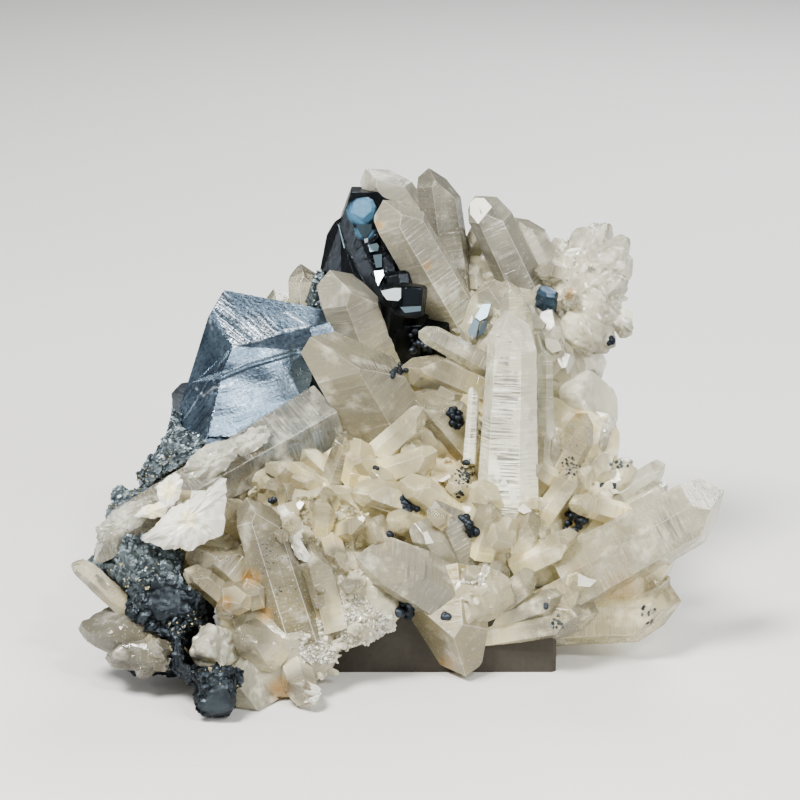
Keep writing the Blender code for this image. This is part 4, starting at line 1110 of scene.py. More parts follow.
def quartz_crystals():
    """The named crystals, the massive quartz between them and the small crystals on it, as one surface."""
    named = named_spires(SPIRES)
    lumps = [plain_lump(name, seen(*middle), sizes) for name, (middle, sizes) in LUMPS.items()]
    massive = united("massive", [lump.copy() for lump in lumps])
    plain = united("plain", lumps + [spire(name, **shape) for name, shape in named.items()])
    tree = tree_of(plain)
    little = sprouts(tree, SPROUT_PATCHES, BACK_PATCHES)
    little |= sprouts(tree, GROWTH_PATCHES, GROWTH_BEHIND, tree_of(massive))
    remove(plain)
    remove(massive)
    solids = [rough_lump(name, seen(*middle), sizes) for name, (middle, sizes) in (LUMPS | OWN_LUMPS).items()
              if name not in LEFT_OUT]
    for name, shape in (named | named_spires(FRONT_CRYSTALS) | little).items():
        covered = name.startswith("druse") and in_bare_place(shape["tip"])
        if name not in LEFT_OUT and not covered:
            solids.append(finished_spire(name, shape))
    return above_floor(united("quartz_crystals", solids))


def template(solid):
    """A small solid as corner places and faces, and the solid is freed."""
    solid.verts.index_update()
    places = [vert.co.copy() for vert in solid.verts]
    faces = [[vert.index for vert in face.verts] for face in solid.faces]
    solid.free()
    return places, faces


def balls():
    """The template of a small bead."""
    ball = bmesh.new()
    bmesh.ops.create_icosphere(ball, subdivisions=2, radius=1)
    return [template(ball)]


def tiny_crystals(count):
    """Templates of small quartz crystals of unit length and width."""
    return [template(spire(f"tiny_{number}", Vector((0, 0, -0.3)), Vector((0, 0, 1)), 1 / MM, taper=0.1,
                           chisel=0.1 * (number % 4))) for number in range(count)]


def chips(count):
    """Templates of small broken metallic grains: cubes with two more faces."""
    templates = []
    for number in range(count):
        chance = random.Random(f"chip_{number}")
        planes = []
        for _ in range(2):
            normal = scattered(chance.gauss, 0, 1).normalized()
            planes.append((normal * chance.uniform(*CHIP_CUTS), normal))
        templates.append(template(cut_from_cube(planes, Vector((0, 0, 0)), CHIP_CUTS[1])))
    return templates


class Swarm:
    """Many small solids joined in one mesh, each with its own nature and finish."""

    def __init__(self, templates):
        self.templates = templates
        self.places = []
        self.faces = []
        self.looks = []

    def plant(self, chance, place, way, length, thick, nature, finish=(0, 0, 0)):
        """Stand one small solid at a place, with its +Z along a direction."""
        turn = Matrix.Rotation(chance.uniform(0, 2 * math.pi), 3, "Z")
        stand = way.to_track_quat("Z", "Y").to_matrix() @ turn
        points, faces = chance.choice(self.templates)
        start = len(self.places)
        for point in points:
            self.places.append(place + stand @ Vector((point.x * thick, point.y * thick, point.z * length)))
            self.looks.append((nature, finish))
        self.faces += [[start + index for index in face] for face in faces]

    def grown(self, name):
        """The joined mesh as an object, with the nature and finish on its corners."""
        mesh = bpy.data.meshes.new(name)
        mesh.from_pydata(self.places, [], self.faces)
        for number, mark in enumerate(("nature", "finish")):
            values = [value for loop in mesh.loops for value in self.looks[loop.vertex_index][number]]
            mesh.attributes.new(mark, "FLOAT_VECTOR", "CORNER").data.foreach_set("vector", values)
        return linked(name, mesh)


def crowded(chance, low, high):
    """A number between two, more often near them than halfway."""
    return (low + high) / 2 + (high - low) / 2 * math.sin(chance.uniform(*CROWDING))


def druse(quartz, tree):
    """The sugary small crystals on the massive quartz, and the teeth of the white fringe."""
    swarm = Swarm(tiny_crystals(8))
    mesh = quartz.data
    mesh.calc_loop_triangles()
    nature = mesh.attributes["nature"].data

    def massive(face):
        return nature[mesh.polygons[face].loop_start].vector[2] > BETWEEN

    def plant(chance, place, way, length, thick, white):
        if min(place.z, place.z + way.z * length) > LOWEST_DRUSE and not in_bare_place(place):
            tone, warmth = look_at_part(place)
            tone = min(1.0, tone * (1 - white) + white + chance.uniform(*DRUSE_TONES))
            clear = chance.uniform(*DRUSE_CLEAR) * (1 - 0.4 * white)
            swarm.plant(chance, place, way, length, thick, (clear, tone, BETWEEN),
                        (0.0, white, warmth * (1 - 0.6 * white)))

    for zone, (left, right, low, high, count, length, white) in SUGAR.items():
        chance = random.Random(zone)
        for _ in range(count):
            place, normal, face = struck(tree, crowded(chance, left, right), crowded(chance, low, high))
            if place and massive(face) and noise.noise(place / SUGAR_GAPS) > LEAST_SUGAR:
                size = length * MM * chance.lognormvariate(*SUGAR_SIZES)
                way = leaning(chance, normal, SUGAR_LEAN)
                plant(chance, place, way, size, size * chance.uniform(*SUGAR_WIDTHS), white)

    triangles = [triangle for triangle in mesh.loop_triangles if massive(triangle.polygon_index)]
    chance = random.Random("druse")
    for triangle in chance.choices(triangles, [triangle.area for triangle in triangles], k=SUGAR_EVERYWHERE):
        first, second, third = (mesh.vertices[index].co for index in triangle.vertices)
        left, right = sorted((chance.random(), chance.random()))
        place = first * left + second * (right - left) + third * (1 - right)
        size = chance.lognormvariate(*DRUSE_SIZES) * MM
        way = leaning(chance, triangle.normal, DRUSE_LEAN)
        plant(chance, place, way, size, size * chance.uniform(*DRUSE_WIDTHS), DRUSE_WHITE)

    chance = random.Random("fringe")
    for _ in range(FRINGE_TEETH):
        along = chance.uniform(0, len(FRINGE) - 1.001)
        start, end = Vector(FRINGE[int(along)]), Vector(FRINGE[int(along) + 1])
        inward = Vector((end.y - start.y, start.x - end.x)).normalized()
        spot = start.lerp(end, along % 1) + inward * -chance.uniform(*FRINGE_SPREAD)
        place, normal, _ = struck(tree, *spot)
        if place:
            outward = (ACROSS * inward.x + UP * inward.y - AWAY * TOOTH_LIFT).normalized()
            length = TOOTH_LENGTH * chance.uniform(*TOOTH_SIZES)
            plant(chance, place, leaning(chance, outward, TOOTH_LEAN), length, TOOTH_WIDTH, FRINGE_WHITE)
    return swarm.grown("quartz_druse")


def plate(solid, layers, name, outline, centre, depth, thick, bulge, white=1.0):
    """Add one thin plate with a ragged rim and radiating ridges."""
    chance = random.Random(name)
    rim = []
    for start, end in zip(outline, outline[1:] + outline[:1]):
        for step in range(RIM_STEPS):
            spot = Vector(start).lerp(Vector(end), step / RIM_STEPS)
            rim.append(spot + Vector((chance.uniform(-1, 1), chance.uniform(-1, 1))) * RIM_WAVE)
    middle = Vector(centre)
    rings = []
    for ring in range(1, PLATE_RINGS + 1):
        share = ring / PLATE_RINGS
        row = []
        for number, spot in enumerate(rim):
            place = middle.lerp(spot, share)
            ridge = noise.noise(Vector((number * 0.3, depth, len(name)))) * share * 0.9
            rough = noise.noise(Vector((place.x * 0.9, place.y * 0.9, depth))) * 0.7
            rough += noise.noise(Vector((place.x * 3, place.y * 3, depth))) * 0.2
            away = depth - bulge * (1 - share ** 3) * (0.7 + 0.5 * ridge) - rough
            row.append(solid.verts.new(seen(place.x, place.y, away)))
        rings.append(row)
    top = solid.verts.new(seen(middle.x, middle.y, depth - bulge * 0.8))
    bottom = solid.verts.new(seen(middle.x, middle.y, depth + thick))
    back = [solid.verts.new(seen(*(middle + (spot - middle) * 0.93), depth + thick * 0.6)) for spot in rim]
    faces = []
    for number in range(len(rim)):
        after = (number + 1) % len(rim)
        faces.append((top, rings[0][number], rings[0][after]))
        for inner, outer in zip(rings, rings[1:]):
            faces.append((inner[number], outer[number], outer[after], inner[after]))
        faces.append((rings[-1][number], back[number], back[after], rings[-1][after]))
        faces.append((back[number], bottom, back[after]))
    grain, nature, finish = layers
    for corners in faces:
        for loop in solid.faces.new(corners).loops:
            across, up = viewed(loop.vert.co)
            from_middle = min(1.0, (Vector((across, up)) - middle).length / PLATE_REACH)
            warmth = 0.9 if from_middle < 0.3 and name.startswith("petal") else 0.0
            loop[grain].uv = (across + depth, up)
            loop[nature] = Vector((0.3 * from_middle + 0.5 * (1 - white), 0.7 + 0.3 * white, BETWEEN))
            loop[finish] = Vector((1.0, 0.9 * white, warmth))


def plates():
    """The white petals, the blade beside the leaning crystal and the icy plates, as one joined mesh."""
    solid = bmesh.new()
    layers = [solid.loops.layers.uv.new("grain")] + marks(solid)
    for name, shape in PLATES.items():
        plate(solid, layers, name, **shape)
    bmesh.ops.recalc_face_normals(solid, faces=solid.faces)
    return as_object("quartz_plates", solid)


def flecks(name, tree, templates, chipped):
    """Small dark beads or glittering chips that sit on the quartz, as one joined mesh."""
    swarm = Swarm(templates)
    for patch, (across, up, spread, count, radius) in (CHIP_PATCHES if chipped else BEAD_PATCHES).items():
        chance = random.Random(patch)
        for _ in range(count):
            place, normal, _ = struck(tree, across + chance.gauss(0, 0.5) * spread,
                                      up + chance.gauss(0, 0.5) * spread)
            if place:
                size = radius * MM * chance.uniform(*FLECK_SIZES) * (2 if chipped else 1)
                way = leaning(chance, normal, FLECK_LEAN)
                swarm.plant(chance, place + normal * size * GRAIN_LIFT, way, size, size,
                            (0, chance.random() * FLECK_GLINT, 0))
    return swarm.grown(name)


def copied(node):
    """The solid of a CAD node, with its flat faces whole."""
    solid = bmesh.new()
    solid.from_mesh(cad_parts[node].data)
    bmesh.ops.dissolve_limit(solid, angle_limit=math.radians(1), verts=solid.verts[:], edges=solid.edges[:])
    return solid


def carved(name, solid, cell, relief):
    """A solid's surface in small faces, with a relief that also says how much painted light each point gets.
    """
    tree = BVHTree.FromBMesh(solid)
    thing = as_object(name, solid)
    skin = thing.modifiers.new("skin", "REMESH")
    skin.mode = "VOXEL"
    skin.voxel_size = cell
    applied(thing)
    shine = thing.data.attributes.new("shine", "FLOAT", "POINT")
    values = []
    for vert in thing.data.vertices:
        place, normal, _, _ = tree.find_nearest(vert.co)
        height, bright = relief(place, normal)
        vert.co = place + normal * height
        values.append(bright)
    shine.data.foreach_set("value", values)
    thing.data.update()
    return thing


def terraces(height, width):
    """Uneven steps along a line, from 0 to 1."""
    steps = noise.cell(Vector((height / width, 0.5, 0.5)))
    return 0.6 * steps + 0.4 * noise.cell(Vector((height / width * 2.3, 7.5, 0.5)))


def left_of(across, up, end):
    """Whether a point of the front view is to the left of the edge from the corner to its end."""
    along, rise = end[0] - FACE_CORNER[0], end[1] - FACE_CORNER[1]
    return along * (up - FACE_CORNER[1]) > rise * (across - FACE_CORNER[0])


def away_from_line(across, up, line):
    """How far a point of the front view is from a broken line."""
    spot = Vector((across, up))
    gaps = []
    for start, end in zip(line, line[1:]):
        start, end = Vector(start), Vector(end)
        share = min(1.0, max(0.0, (spot - start).dot(end - start) / (end - start).length_squared))
        gaps.append((spot - start.lerp(end, share)).length)
    return min(gaps)


def large_bournonite():
    """The large crystal: streaks on its top, flowing lines on its front, a grain on its side, and painted
    highlights along some edges and its step edges.
    """
    along_top = (seen(*TOP_RUN[1]) - seen(*TOP_RUN[0])).normalized()
    along_front = (seen(*FRONT_RUN[1]) - seen(*FRONT_RUN[0])).normalized()

    def relief(place, normal):
        spot = place / MM
        grain = noise.noise(spot * 2.6) * 0.02
        across, up = viewed(place)
        # Painted highlight: lines along some edges are painted bright
        edge = max(1 - smooth(away_from_line(across, up, line), 0.05, 0.30) for line in BRIGHT_EDGES)
        edge *= smooth(noise.noise(spot * 0.9), -0.5, 0.1)
        in_front = normal.dot(AWAY) < 0
        if in_front and left_of(across, up, FRONT_EDGE) and not left_of(across, up, TOP_LEFT_EDGE):
            along = along_top
            width = TOP_STEP
            zone = 1 - smooth(away_from_line(across, up, STREAKED), 1.6, 4.2)
            depth = 0.005 + 0.2 * zone
            grain += noise.noise(spot * 1.8) * 0.03
        elif in_front and not left_of(across, up, FRONT_EDGE) and left_of(across, up, LOW_LEFT_EDGE):
            along = along_front
            width = FRONT_STEP
            zone = 0.1
            depth = 0.02
            grain += noise.noise(spot * 0.2) * 0.3
            grain -= 0.2 * smooth(RIDGE_DROP - away_from_line(across, up, RIDGE), 0.0, 0.5)
        else:
            return (grain - 0.03) * MM, edge * 0.8
        far = spot.dot(normal.cross(along).normalized())
        run = spot.dot(along)
        far += 0.9 * noise.noise(Vector((run * 0.16, far * 0.1, 4.0)))
        far += 0.15 * noise.noise(Vector((run * 1.3, 0, far)))
        step = terraces(far, width)
        # Painted highlight: the edges of the steps are painted bright
        bright = smooth(abs(step - terraces(far + 0.2, width)), 0.05, 0.3)
        return (grain - depth * step) * MM, max(bright * zone, edge * 0.8)

    solid = copied("bournonite_large")
    corners = [solid.verts.new(seen(across, up, away + back)) for across, up, away in FRONT_FACE
               for back in (0, FACE_FILL)]
    bmesh.ops.convex_hull(solid, input=corners)
    return carved("large_bournonite", solid, LARGE_CELL, relief)


def cogwheel():
    """The cogwheel group, with shallow steps across its dark sides that are painted lighter as highlights."""
    rise = (seen(*COG_RUN[1]) - seen(*COG_RUN[0])).normalized()

    def relief(place, normal):
        spot = place / MM
        step = terraces(spot.dot(rise) + 0.5 * noise.noise(spot * 0.3), COG_STEP)
        patch = smooth(noise.noise(spot * 0.25), -0.1, 0.3)
        grain = noise.noise(spot * 1.2) * 0.02
        return (grain - 0.07 * step * patch) * MM, 0.5 * patch * step

    return carved("cogwheel_bournonite", copied("bournonite_cogwheel"), COG_CELL, relief)


def small_bournonite(name, node):
    """A small crystal with shallow steps."""
    def relief(place, normal):
        spot = place / MM
        step = terraces(spot.z + spot.x * 0.3, SMALL_STEP)
        return (noise.noise(spot * 3.0) * 0.015 - 0.08 * step) * MM, 0.2

    return carved(name, copied(node), SMALL_CELL, relief)


def sulphide_skin():
    """The metallic mass: knobbly everywhere, with smooth dark faces here and there."""
    def relief(place, normal):
        spot = place / MM
        near_knob, far_knob = noise.voronoi(spot / KNOB_SIZE)[0][:2]
        near_grain = noise.voronoi(spot / KNOB_GRAIN)[0][0]
        knob = smooth(far_knob - near_knob, 0.0, 0.4)
        across, up = viewed(place)
        flat = max(1 - smooth(math.hypot(across - middle, up - height), radius * 0.7, radius)
                   for middle, height, radius in FLAT_FACES)
        height = -0.6 * (1 - knob) - 0.5 * near_grain ** 2
        # Painted light: lighter towards the top of the front view and on the knobs, not on the smooth dark
        # faces
        return height * (1 - 0.85 * flat) * MM, smooth(up, *LIT_FROM) * (0.6 + 0.4 * knob) * (1 - flat)

    return carved("sulphide_skin", copied("sulphide_matrix"), MATRIX_CELL, relief)


def crust(skin, quartz_tree):
    """Glittering grains all over the sulphide, some of them golden, as one joined mesh."""
    swarm = Swarm(chips(10))
    chance = random.Random("crust")
    mesh = skin.data
    mesh.calc_loop_triangles()
    triangles = list(mesh.loop_triangles)
    weights = [triangle.area * (1.0 if triangle.normal.dot(AWAY) < 0.2 else BACK_CRUST)
               for triangle in triangles]
    for triangle in chance.choices(triangles, weights, k=CRUST_GRAINS):
        place = Vector(triangle.center)
        across, up = viewed(place)
        beside_quartz = quartz_tree.find_nearest(place)[3] < BESIDE_QUARTZ
        if beside_quartz or place.z < LOWEST_GRAIN or in_circles(across, up, FLAT_FACES):
            continue
        size = chance.lognormvariate(*GRAIN_SIZES) * MM
        golden = 1.0 if in_circles(across, up, GOLDEN) and chance.random() < GOLDEN_SHARE else 0.0
        # Painted light: grains lighter towards the top, and random ones painted bright as glints
        light = smooth(up, *LIT_FROM)
        nature = (golden, chance.random() ** 2 * (0.15 + 0.85 * light), light)
        way = leaning(chance, triangle.normal, GRAIN_LEAN)
        swarm.plant(chance, place + triangle.normal * size * GRAIN_LIFT, way, size,
                    size * chance.uniform(*GRAIN_WIDTHS), nature)
    return swarm.grown("sulphide_grains")


def facets(name, tree, table, lift):
    """Small thin facets that lie on a surface, as one joined mesh, each with a brightness painted into its
    colour.
    """
    solid = bmesh.new()
    nature, finish = marks(solid)
    for corners, bright in table:
        rays = [(seen((across - PHOTO_MIDDLE) * PIXEL, (PHOTO_MIDDLE - down) * PIXEL) - EYE).normalized()
                for across, down in corners]
        centre = sum(rays, Vector()) / len(rays)
        inside = [centre.lerp(way, share).normalized() for way in rays for share in (0.0, 0.4, 0.8)]
        hits = [hit for hit in (tree.ray_cast(EYE, way) for way in rays + inside) if hit[0]]
        middle = sum((hit[0] for hit in hits), Vector()) / len(hits)
        normal = sum((hit[1] for hit in hits), -AWAY).normalized()
        highest = max((hit[0] - middle).dot(normal) for hit in hits)
        front = middle + normal * (highest + lift)
        back = middle - normal * FACET_DEPTH
        outer, inner = ([solid.verts.new(EYE + way * (level - EYE).dot(normal) / way.dot(normal))
                         for way in rays] for level in (front, back))
        faces = [solid.faces.new(outer), solid.faces.new(inner[::-1])]
        for number in range(len(rays)):
            after = (number + 1) % len(rays)
            faces.append(solid.faces.new((outer[after], outer[number], inner[number], inner[after])))
        for face in faces:
            for loop in face.loops:
                loop[nature] = Vector((0.0, bright, BETWEEN))
                loop[finish] = Vector((0.0, bright, 0.1))
    bmesh.ops.recalc_face_normals(solid, faces=solid.faces)
    return as_object(name, solid)


def beads_on(name, node):
    """A cluster of small dark balls grown over a CAD bead cluster."""
    swarm = Swarm(balls())
    solid = copied(node)
    chance = random.Random(name)
    faces = list(solid.faces)
    for face in chance.choices(faces, [face.calc_area() for face in faces], k=BEADS):
        corners = [vert.co for vert in face.verts]
        shares = [chance.random() ** 2 + 0.01 for _ in corners]
        place = sum((corner * share for corner, share in zip(corners, shares)), Vector()) / sum(shares)
        radius = chance.uniform(*BEAD_RADII) * MM
        swarm.plant(chance, place - face.normal * radius * BEAD_SINK, face.normal, radius, radius,
                    (0, chance.random(), 1))
    solid.free()
    return swarm.grown(name)


class Nodes:
    """A small helper that adds and joins the nodes of a material."""

    def __init__(self, name):
        self.material = bpy.data.materials.new(name)
        self.material.use_nodes = True
        self.tree = self.material.node_tree
        self.shader = self.tree.nodes["Principled BSDF"]
        self.output = self.tree.nodes["Material Output"]

    def add(self, kind, inputs=None, **settings):
        node = self.tree.nodes.new("ShaderNode" + kind)
        for key, value in settings.items():
            setattr(node, key, value)
        for key, value in (inputs or {}).items():
            self.put(node.inputs[key], value)
        return node

    def put(self, socket, value):
        """Link a socket, or set it. A colour is given as red, green and blue."""
        if isinstance(value, bpy.types.NodeSocket):
            self.tree.links.new(value, socket)
        else:
            socket.default_value = (*value, 1) if socket.type == "RGBA" else value

    def math(self, operation, first, second=0.5, third=0.5, clamp=False):
        node = self.add("Math", operation=operation, use_clamp=clamp)
        for socket, value in zip(node.inputs, (first, second, third)):
            self.put(socket, value)
        return node.outputs[0]

    def times(self, first, second, clamp=False):
        return self.math("MULTIPLY", first, second, clamp=clamp)

    def lowered(self, value, by, share):
        """A value made smaller where another one is large."""
        return self.times(value, self.math("SUBTRACT", 1.0, self.times(by, share)))

    def span(self, value, low, high, to_low=0.0, to_high=1.0):
        """A soft step between two values, as another one goes from low to high."""
        node = self.add("MapRange", {"Value": value, "From Min": low, "From Max": high,
                                     "To Min": to_low, "To Max": to_high}, interpolation_type="SMOOTHSTEP")
        return node.outputs["Result"]

    def mix(self, share, first, second):
        node = self.add("Mix", {"Factor": share, 6: first, 7: second}, data_type="RGBA")
        return node.outputs[2]

    def ramp(self, value, dark, middle, light):
        """A colour between three, as a value goes from 0 to 1."""
        lower = self.mix(self.span(value, 0.0, 0.5), dark, middle)
        return self.mix(self.span(value, 0.5, 1.0), lower, light)

    def attribute(self, name, output="Vector"):
        return self.add("Attribute", attribute_name=name).outputs[output]

    def parts(self, name):
        """The three values of a map."""
        return self.add("SeparateXYZ", {"Vector": self.attribute(name)}).outputs

    def stretched(self, source, scale):
        return self.add("Mapping", {"Vector": source, "Scale": scale}).outputs[0]

    def place(self):
        """The place of a point, in the object's own metres."""
        return self.stretched(self.add("TexCoord").outputs["Object"], (1, 1, 1))

    def noise(self, vector, scale, detail=3.0, roughness=0.5, distortion=0.0):
        node = self.add("TexNoise", {"Vector": vector, "Scale": scale, "Detail": detail,
                                     "Roughness": roughness, "Distortion": distortion})
        return node.outputs["Fac"]

    def near(self, view, middle, inner, outer):
        """1 closer to a place than an inner distance, and 0 beyond an outer one."""
        gap = self.add("VectorMath", {0: view, 1: tuple(middle)}, operation="DISTANCE").outputs["Value"]
        return self.span(gap, inner, outer, 1.0, 0.0)

    def bump(self, height, strength, distance, normal=None):
        node = self.add("Bump", {"Height": height, "Strength": strength, "Distance": distance})
        if normal:
            self.put(node.inputs["Normal"], normal)
        return node.outputs[0]

    def set(self, **inputs):
        for key, value in inputs.items():
            self.put(self.shader.inputs[key.replace("_", " ")], value)


def front_view(n, flat):
    """The front view's millimetres of a place, as a vector whose third part is 0."""
    offset = n.add("VectorMath", {0: flat, 1: tuple(VIEW_MIDDLE)}, operation="SUBTRACT").outputs[0]

    def along(direction):
        return n.add("VectorMath", {0: offset, 1: tuple(direction)}, operation="DOT_PRODUCT").outputs["Value"]

    spread = n.math("MULTIPLY_ADD", along(AWAY), MM / EYE_DISTANCE, MM)
    across = n.math("DIVIDE", along(ACROSS), spread)
    up = n.math("DIVIDE", along(UP), spread)
    return n.add("CombineXYZ", {"X": across, "Y": up}).outputs[0]


def quartz_material():
    """Quartz: clear towards the tips, milky at the roots, with veils, growth lines and rusty spots."""
    n = Nodes("quartz")
    clear, tone, kind = n.parts("nature")
    # The finish's second part whitens the bevelled edges as partly wear and partly painted highlight, and
    # whitens the sugary crystals, the plates and the painted glint facets
    frost, wear_and_highlight, warmth = n.parts("finish")
    flat = n.place()
    view = front_view(n, flat)

    def streaks(scale, detail, roughness):
        return n.noise(n.stretched(n.attribute("grain"), scale), 1.0, detail, roughness)

    def spot(across, up, radius):
        return n.near(view, (across, up, 0), radius * 0.3, radius)

    lines = streaks((0.07, 1.9, 1), 4.0, 0.7)
    fine = n.noise(flat, 1500, 3.0, 0.6)

    # White and dark growth lines, and milky veils that take the clearness away
    lined = n.times(frost, n.span(kind, 0.2, 0.4, 1.0, 0.0))
    scratched = n.times(n.span(lines, 0.50, 0.62), n.span(streaks((0.25, 0.12, 1), 3.0, 0.6), 0.43, 0.60))
    scratched = n.times(scratched, lined)
    darkened = n.times(n.span(streaks((0.2, 0.16, 5), 3.0, 0.6), 0.38, 0.54), lined)
    for circle in DARK_LINED.values():
        darkened = n.math("MAXIMUM", darkened, spot(*circle))
    darkened = n.times(darkened, n.span(streaks((0.09, 2.6, 7), 3.0, 0.65), 0.46, 0.58))
    feathers = n.span(streaks((0.7, 0.10, 1), 3.0, 0.6), 0.60, 0.78, 0, 0.4)
    milk = n.math("ADD", n.span(n.noise(flat, 190, 5.0, 0.6), 0.50, 0.72), feathers, clamp=True)
    see = clear
    for veil, share in ((milk, 0.6), (scratched, 0.8), (darkened, 0.7)):
        see = n.lowered(see, veil, share)

    # Lightness and warmth as the part of the cluster has them
    shade = n.math("ADD", tone, n.span(n.noise(flat, 90, 3.0), 0.3, 0.7, -0.08, 0.08), clamp=True)
    base = n.mix(warmth, n.ramp(shade, *COOL_QUARTZ), n.ramp(shade, *WARM_QUARTZ))
    base = n.mix(n.span(n.noise(flat, 240, 3.0, 0.6), 0.54, 0.72, 0, 0.45), base, SMOKE)
    base = n.mix(n.times(milk, 0.4), base, MILK)
    base = n.mix(n.times(see, n.span(shade, 0.0, 0.6, 0.45, 0.9)), base, n.mix(warmth, *CLEAREST))

    # Rust, pale specks, the growth lines, and the white of worn edges, which is partly wear and partly painted
    # highlight, and which also whitens the sugary crystals, the plates and the painted glint facets
    rust = n.span(n.noise(flat, 150, 3.0, 0.6, 0.5), 0.68, 0.78, 0, 0.4)
    for *circle, strength in RUSTY.values():
        rust = n.math("MAXIMUM", rust, n.times(spot(*circle), strength))
    rust = n.times(rust, n.span(n.noise(flat, 500, 3.0, 0.6), 0.3, 0.6, 0.3, 1.0))
    specks = n.span(n.noise(flat, 2600, 2.0, 0.5), 0.62, 0.72, 0, 0.5)
    for share, colour in ((rust, RUST), (specks, PALE_SPECK), (n.times(scratched, 0.9), WHITE_LINE),
                          (n.times(darkened, 0.85), DARK_LINE), (n.times(wear_and_highlight, 0.4), WEAR_AND_HIGHLIGHT_WHITE)):
        base = n.mix(share, base, colour)

    n.set(Base_Color=base, IOR=QUARTZ_IOR, Roughness=n.span(fine, 0.3, 0.8, 0.04, 0.18),
          Transmission_Weight=n.times(see, 1.3, clamp=True), Subsurface_Weight=0.25,
          Subsurface_Radius=(1.0, 0.8, 0.55), Subsurface_Scale=1.0 * MM,
          Normal=n.bump(fine, 0.25, 0.08 * MM, n.bump(lines, 0.5, 0.15 * MM)))
    volume = n.add("VolumeAbsorption", {"Color": QUARTZ_TINT, "Density": QUARTZ_DENSITY})
    n.put(n.output.inputs["Volume"], volume.outputs[0])
    return n.material


def metal_material(name, dark, light, roughness, glints, bright=STEEL_GLINT):
    """A blue-grey metallic mineral with a clouded tone, and painted highlights in the glint colour where the
    shine mark is high.
    """
    n = Nodes(name)
    flat = n.place()
    fine = n.noise(flat, 1600, 3.0, 0.6)
    base = n.mix(n.span(n.noise(flat, 180, 4.0, 0.6), 0.35, 0.65), dark, light)
    base = n.mix(n.times(n.attribute("shine", "Fac"), glints), base, bright)
    n.set(Base_Color=base, Metallic=0.9, Roughness=n.span(fine, 0.3, 0.7, roughness - 0.06, roughness + 0.08),
          Normal=n.bump(fine, 0.3, 0.06 * MM))
    return n.material


def cogwheel_material():
    """The cogwheel group: nearly black and painted lighter on its steps as highlight, with a painted sky-blue
    reflection in its scooped places.
    """
    n = Nodes("cogwheel")
    flat = n.place()
    fine = n.noise(flat, 1600, 3.0, 0.6)
    # Painted reflection: the scooped places are coloured sky blue and made less metallic
    blue = n.math("MAXIMUM", *(n.near(flat, seen(*middle), inner * MM, outer * MM)
                               for middle, inner, outer in BLUE_SHEEN_SCOOPS))
    base = n.mix(n.attribute("shine", "Fac"), *COG_DARK)
    base = n.mix(blue, base, COG_BLUE_SHEEN)
    rough = n.math("MULTIPLY_ADD", blue, 0.25, n.span(fine, 0.3, 0.7, 0.28, 0.42))
    n.set(Base_Color=base, Metallic=n.span(blue, 0, 1, 0.9, 0.1), Roughness=rough,
          Normal=n.bump(fine, 0.15, 0.05 * MM))
    return n.material


def facet_material():
    """Facets from dark blue to nearly white by their painted brightness, which on the cogwheel group stands
    for glints.
    """
    n = Nodes("facets")
    base = n.ramp(n.parts("nature")[1], *FACET_SHEEN_BLUES)
    n.set(Base_Color=base, Metallic=0.5, Roughness=0.3,
          Normal=n.bump(n.noise(n.place(), 1500, 3.0, 0.6), 0.3, 0.06 * MM))
    return n.material


def grain_material():
    """Glittering grains: blue-grey, painted lighter towards the top and bright on random grains as glints, and
    golden where the mark says so.
    """
    n = Nodes("grains")
    golden, tone, light = n.parts("nature")
    fine = n.noise(n.place(), 2200, 2.0)
    base = n.mix(light, *GRAIN_GREYS)
    base = n.mix(tone, base, GRAIN_GLINT)
    base = n.mix(golden, base, GRAIN_GOLD)
    n.set(Base_Color=base, Metallic=0.5, Roughness=n.span(fine, 0.3, 0.7, 0.36, 0.52),
          Normal=n.bump(fine, 0.2, 0.04 * MM))
    return n.material


def block_material():
    """The matte grey-brown block with a fine grain, its colour darkened a little as painted shade."""
    n = Nodes("block")
    grain = n.noise(n.place(), 900, 4.0, 0.6)
    n.set(Base_Color=n.mix(grain, *SHADED_BLOCK_BROWNS), Roughness=0.7, Normal=n.bump(grain, 0.25, 0.1 * MM))
    return n.material


def dress(thing, material):
    """Give an object its finish."""
    thing.data.materials.clear()
    thing.data.materials.append(material)


def make_floor():
    """The pale floor."""
    solid = bmesh.new()
    bmesh.ops.create_grid(solid, x_segments=1, y_segments=1, size=FLOOR_SIZE)
    floor = as_object("floor", solid)
    n = Nodes("floor")
    n.set(Base_Color=FLOOR_COLOUR, Roughness=0.9)
    dress(floor, n.material)


def make_lights():
    """Plain soft studio light: rectangles that look at the specimen, and a dim surrounding."""
    for name, (place, size, power, colour) in LIGHTS.items():
        light = bpy.data.lights.new(name, "AREA")
        light.shape = "RECTANGLE"
        light.size, light.size_y = size
        light.energy = power
        light.color = colour
        lamp = linked(name, light)
        lamp.location = place
        lamp.rotation_euler = (LIGHT_AIM - Vector(place)).to_track_quat("-Z", "Y").to_euler()
    world = bpy.data.worlds.new("studio")
    bpy.context.scene.world = world
    world.use_nodes = True
    surrounding = world.node_tree.nodes["Background"].inputs
    surrounding["Color"].default_value = (0.30, 0.31, 0.33, 1)
    surrounding["Strength"].default_value = 0.45


def make_camera():
    """The camera at the photograph's viewing angle."""
    camera = linked("camera", bpy.data.cameras.new("camera"))
    camera.data.sensor_width = SENSOR_WIDTH
    camera.data.lens = SENSOR_WIDTH * EYE_DISTANCE / VIEW_WIDTH
    turn = Matrix((ACROSS, UP, -AWAY)).transposed().to_4x4()
    camera.matrix_world = Matrix.Translation(EYE) @ turn
    bpy.context.scene.camera = camera


def piece(thing, material, slot, *nodes, soft=False):
    """Give a finished piece its material and body, and hide the CAD nodes that it stands for. The slot is not
    used.
    """
    dress(thing, material)
    if soft:
        thing.data.shade_smooth()
    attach(thing, "root")
    if nodes:
        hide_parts(*nodes)
    return thing


make_camera()
make_lights()
bpy.context.scene.view_settings.look = "AgX - Medium High Contrast"
make_floor()

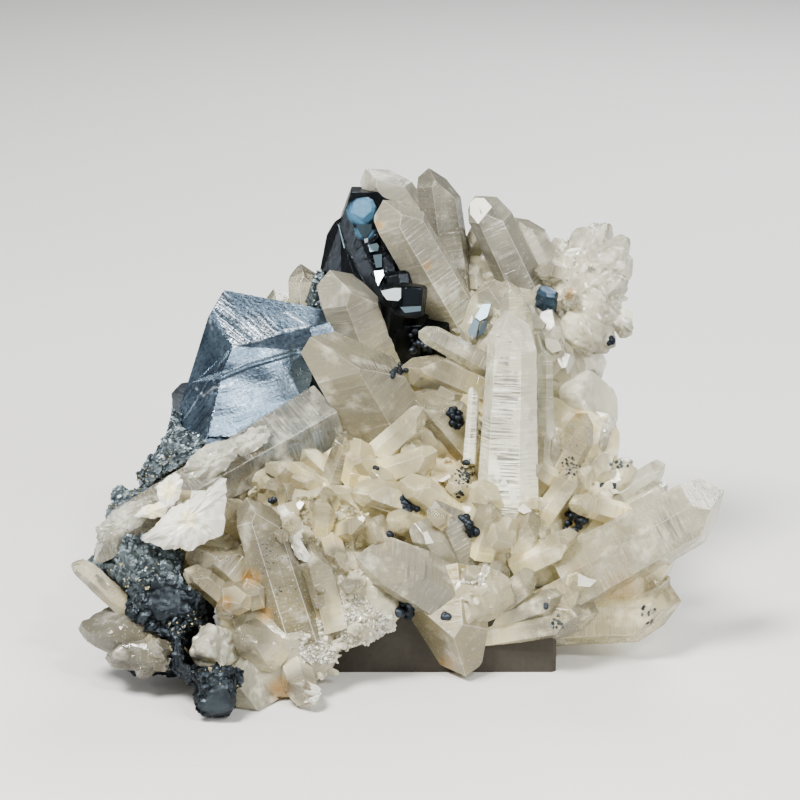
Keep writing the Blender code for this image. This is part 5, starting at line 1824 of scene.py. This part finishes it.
quartz_finish = quartz_material()
quartz = piece(quartz_crystals(), quartz_finish, "quartz", "quartz_cluster")
quartz_tree = tree_of(quartz)
piece(druse(quartz, quartz_tree), quartz_finish, "quartz")
piece(plates(), quartz_finish, "quartz")

steel = metal_material("bournonite", (0.085, 0.12, 0.16), (0.16, 0.215, 0.27), 0.32, 0.8)
dark = metal_material("dark_bournonite", (0.032, 0.038, 0.047), (0.075, 0.09, 0.108), 0.48, 0.2)
navy = metal_material("navy_bournonite", (0.012, 0.04, 0.07), (0.03, 0.085, 0.14), 0.35, 0.3)
lead = metal_material("sulphide", (0.028, 0.034, 0.04), (0.075, 0.092, 0.105), 0.45, 1.0, LEAD_GLINT)
piece(large_bournonite(), steel, "bournonite", "bournonite_large")
cog = piece(cogwheel(), cogwheel_material(), "bournonite", "bournonite_cogwheel")
facet_finish = facet_material()
# Painted glints: facets of the cogwheel group coloured by how brightly they mirror the light
piece(facets("cogwheel_glint_facets", tree_of(cog), COG_GLINT_FACETS, 0.12 * MM), facet_finish, "bournonite")
piece(facets("silver_facets", quartz_tree, SILVER_FACETS, 0.3 * MM), facet_finish, "bournonite")
# Painted glints: quartz facets coloured white where they mirrored the light
piece(facets("quartz_glint_facets", quartz_tree, QUARTZ_GLINT_FACETS, 0.1 * MM), quartz_finish, "quartz")
piece(small_bournonite("small_left", "bournonite_small_left"), dark, "bournonite", "bournonite_small_left")
piece(small_bournonite("small_right", "bournonite_small_right"), navy, "bournonite", "bournonite_small_right")
skin = piece(above_floor(sulphide_skin()), lead, "sulphide", "sulphide_matrix")
grains = grain_material()
piece(crust(skin, quartz_tree), grains, "sulphide")
for cluster in ("upper", "middle", "centre", "right", "lower"):
    node = f"beads_{cluster}"
    piece(beads_on(f"{cluster}_beads", node), dark, "bournonite", node, soft=True)
piece(flecks("dark_beads", quartz_tree, balls(), False), dark, "bournonite", soft=True)
piece(flecks("dark_chips", quartz_tree, chips(6), True), grains, "bournonite")
dress(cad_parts["display_block"], block_material())
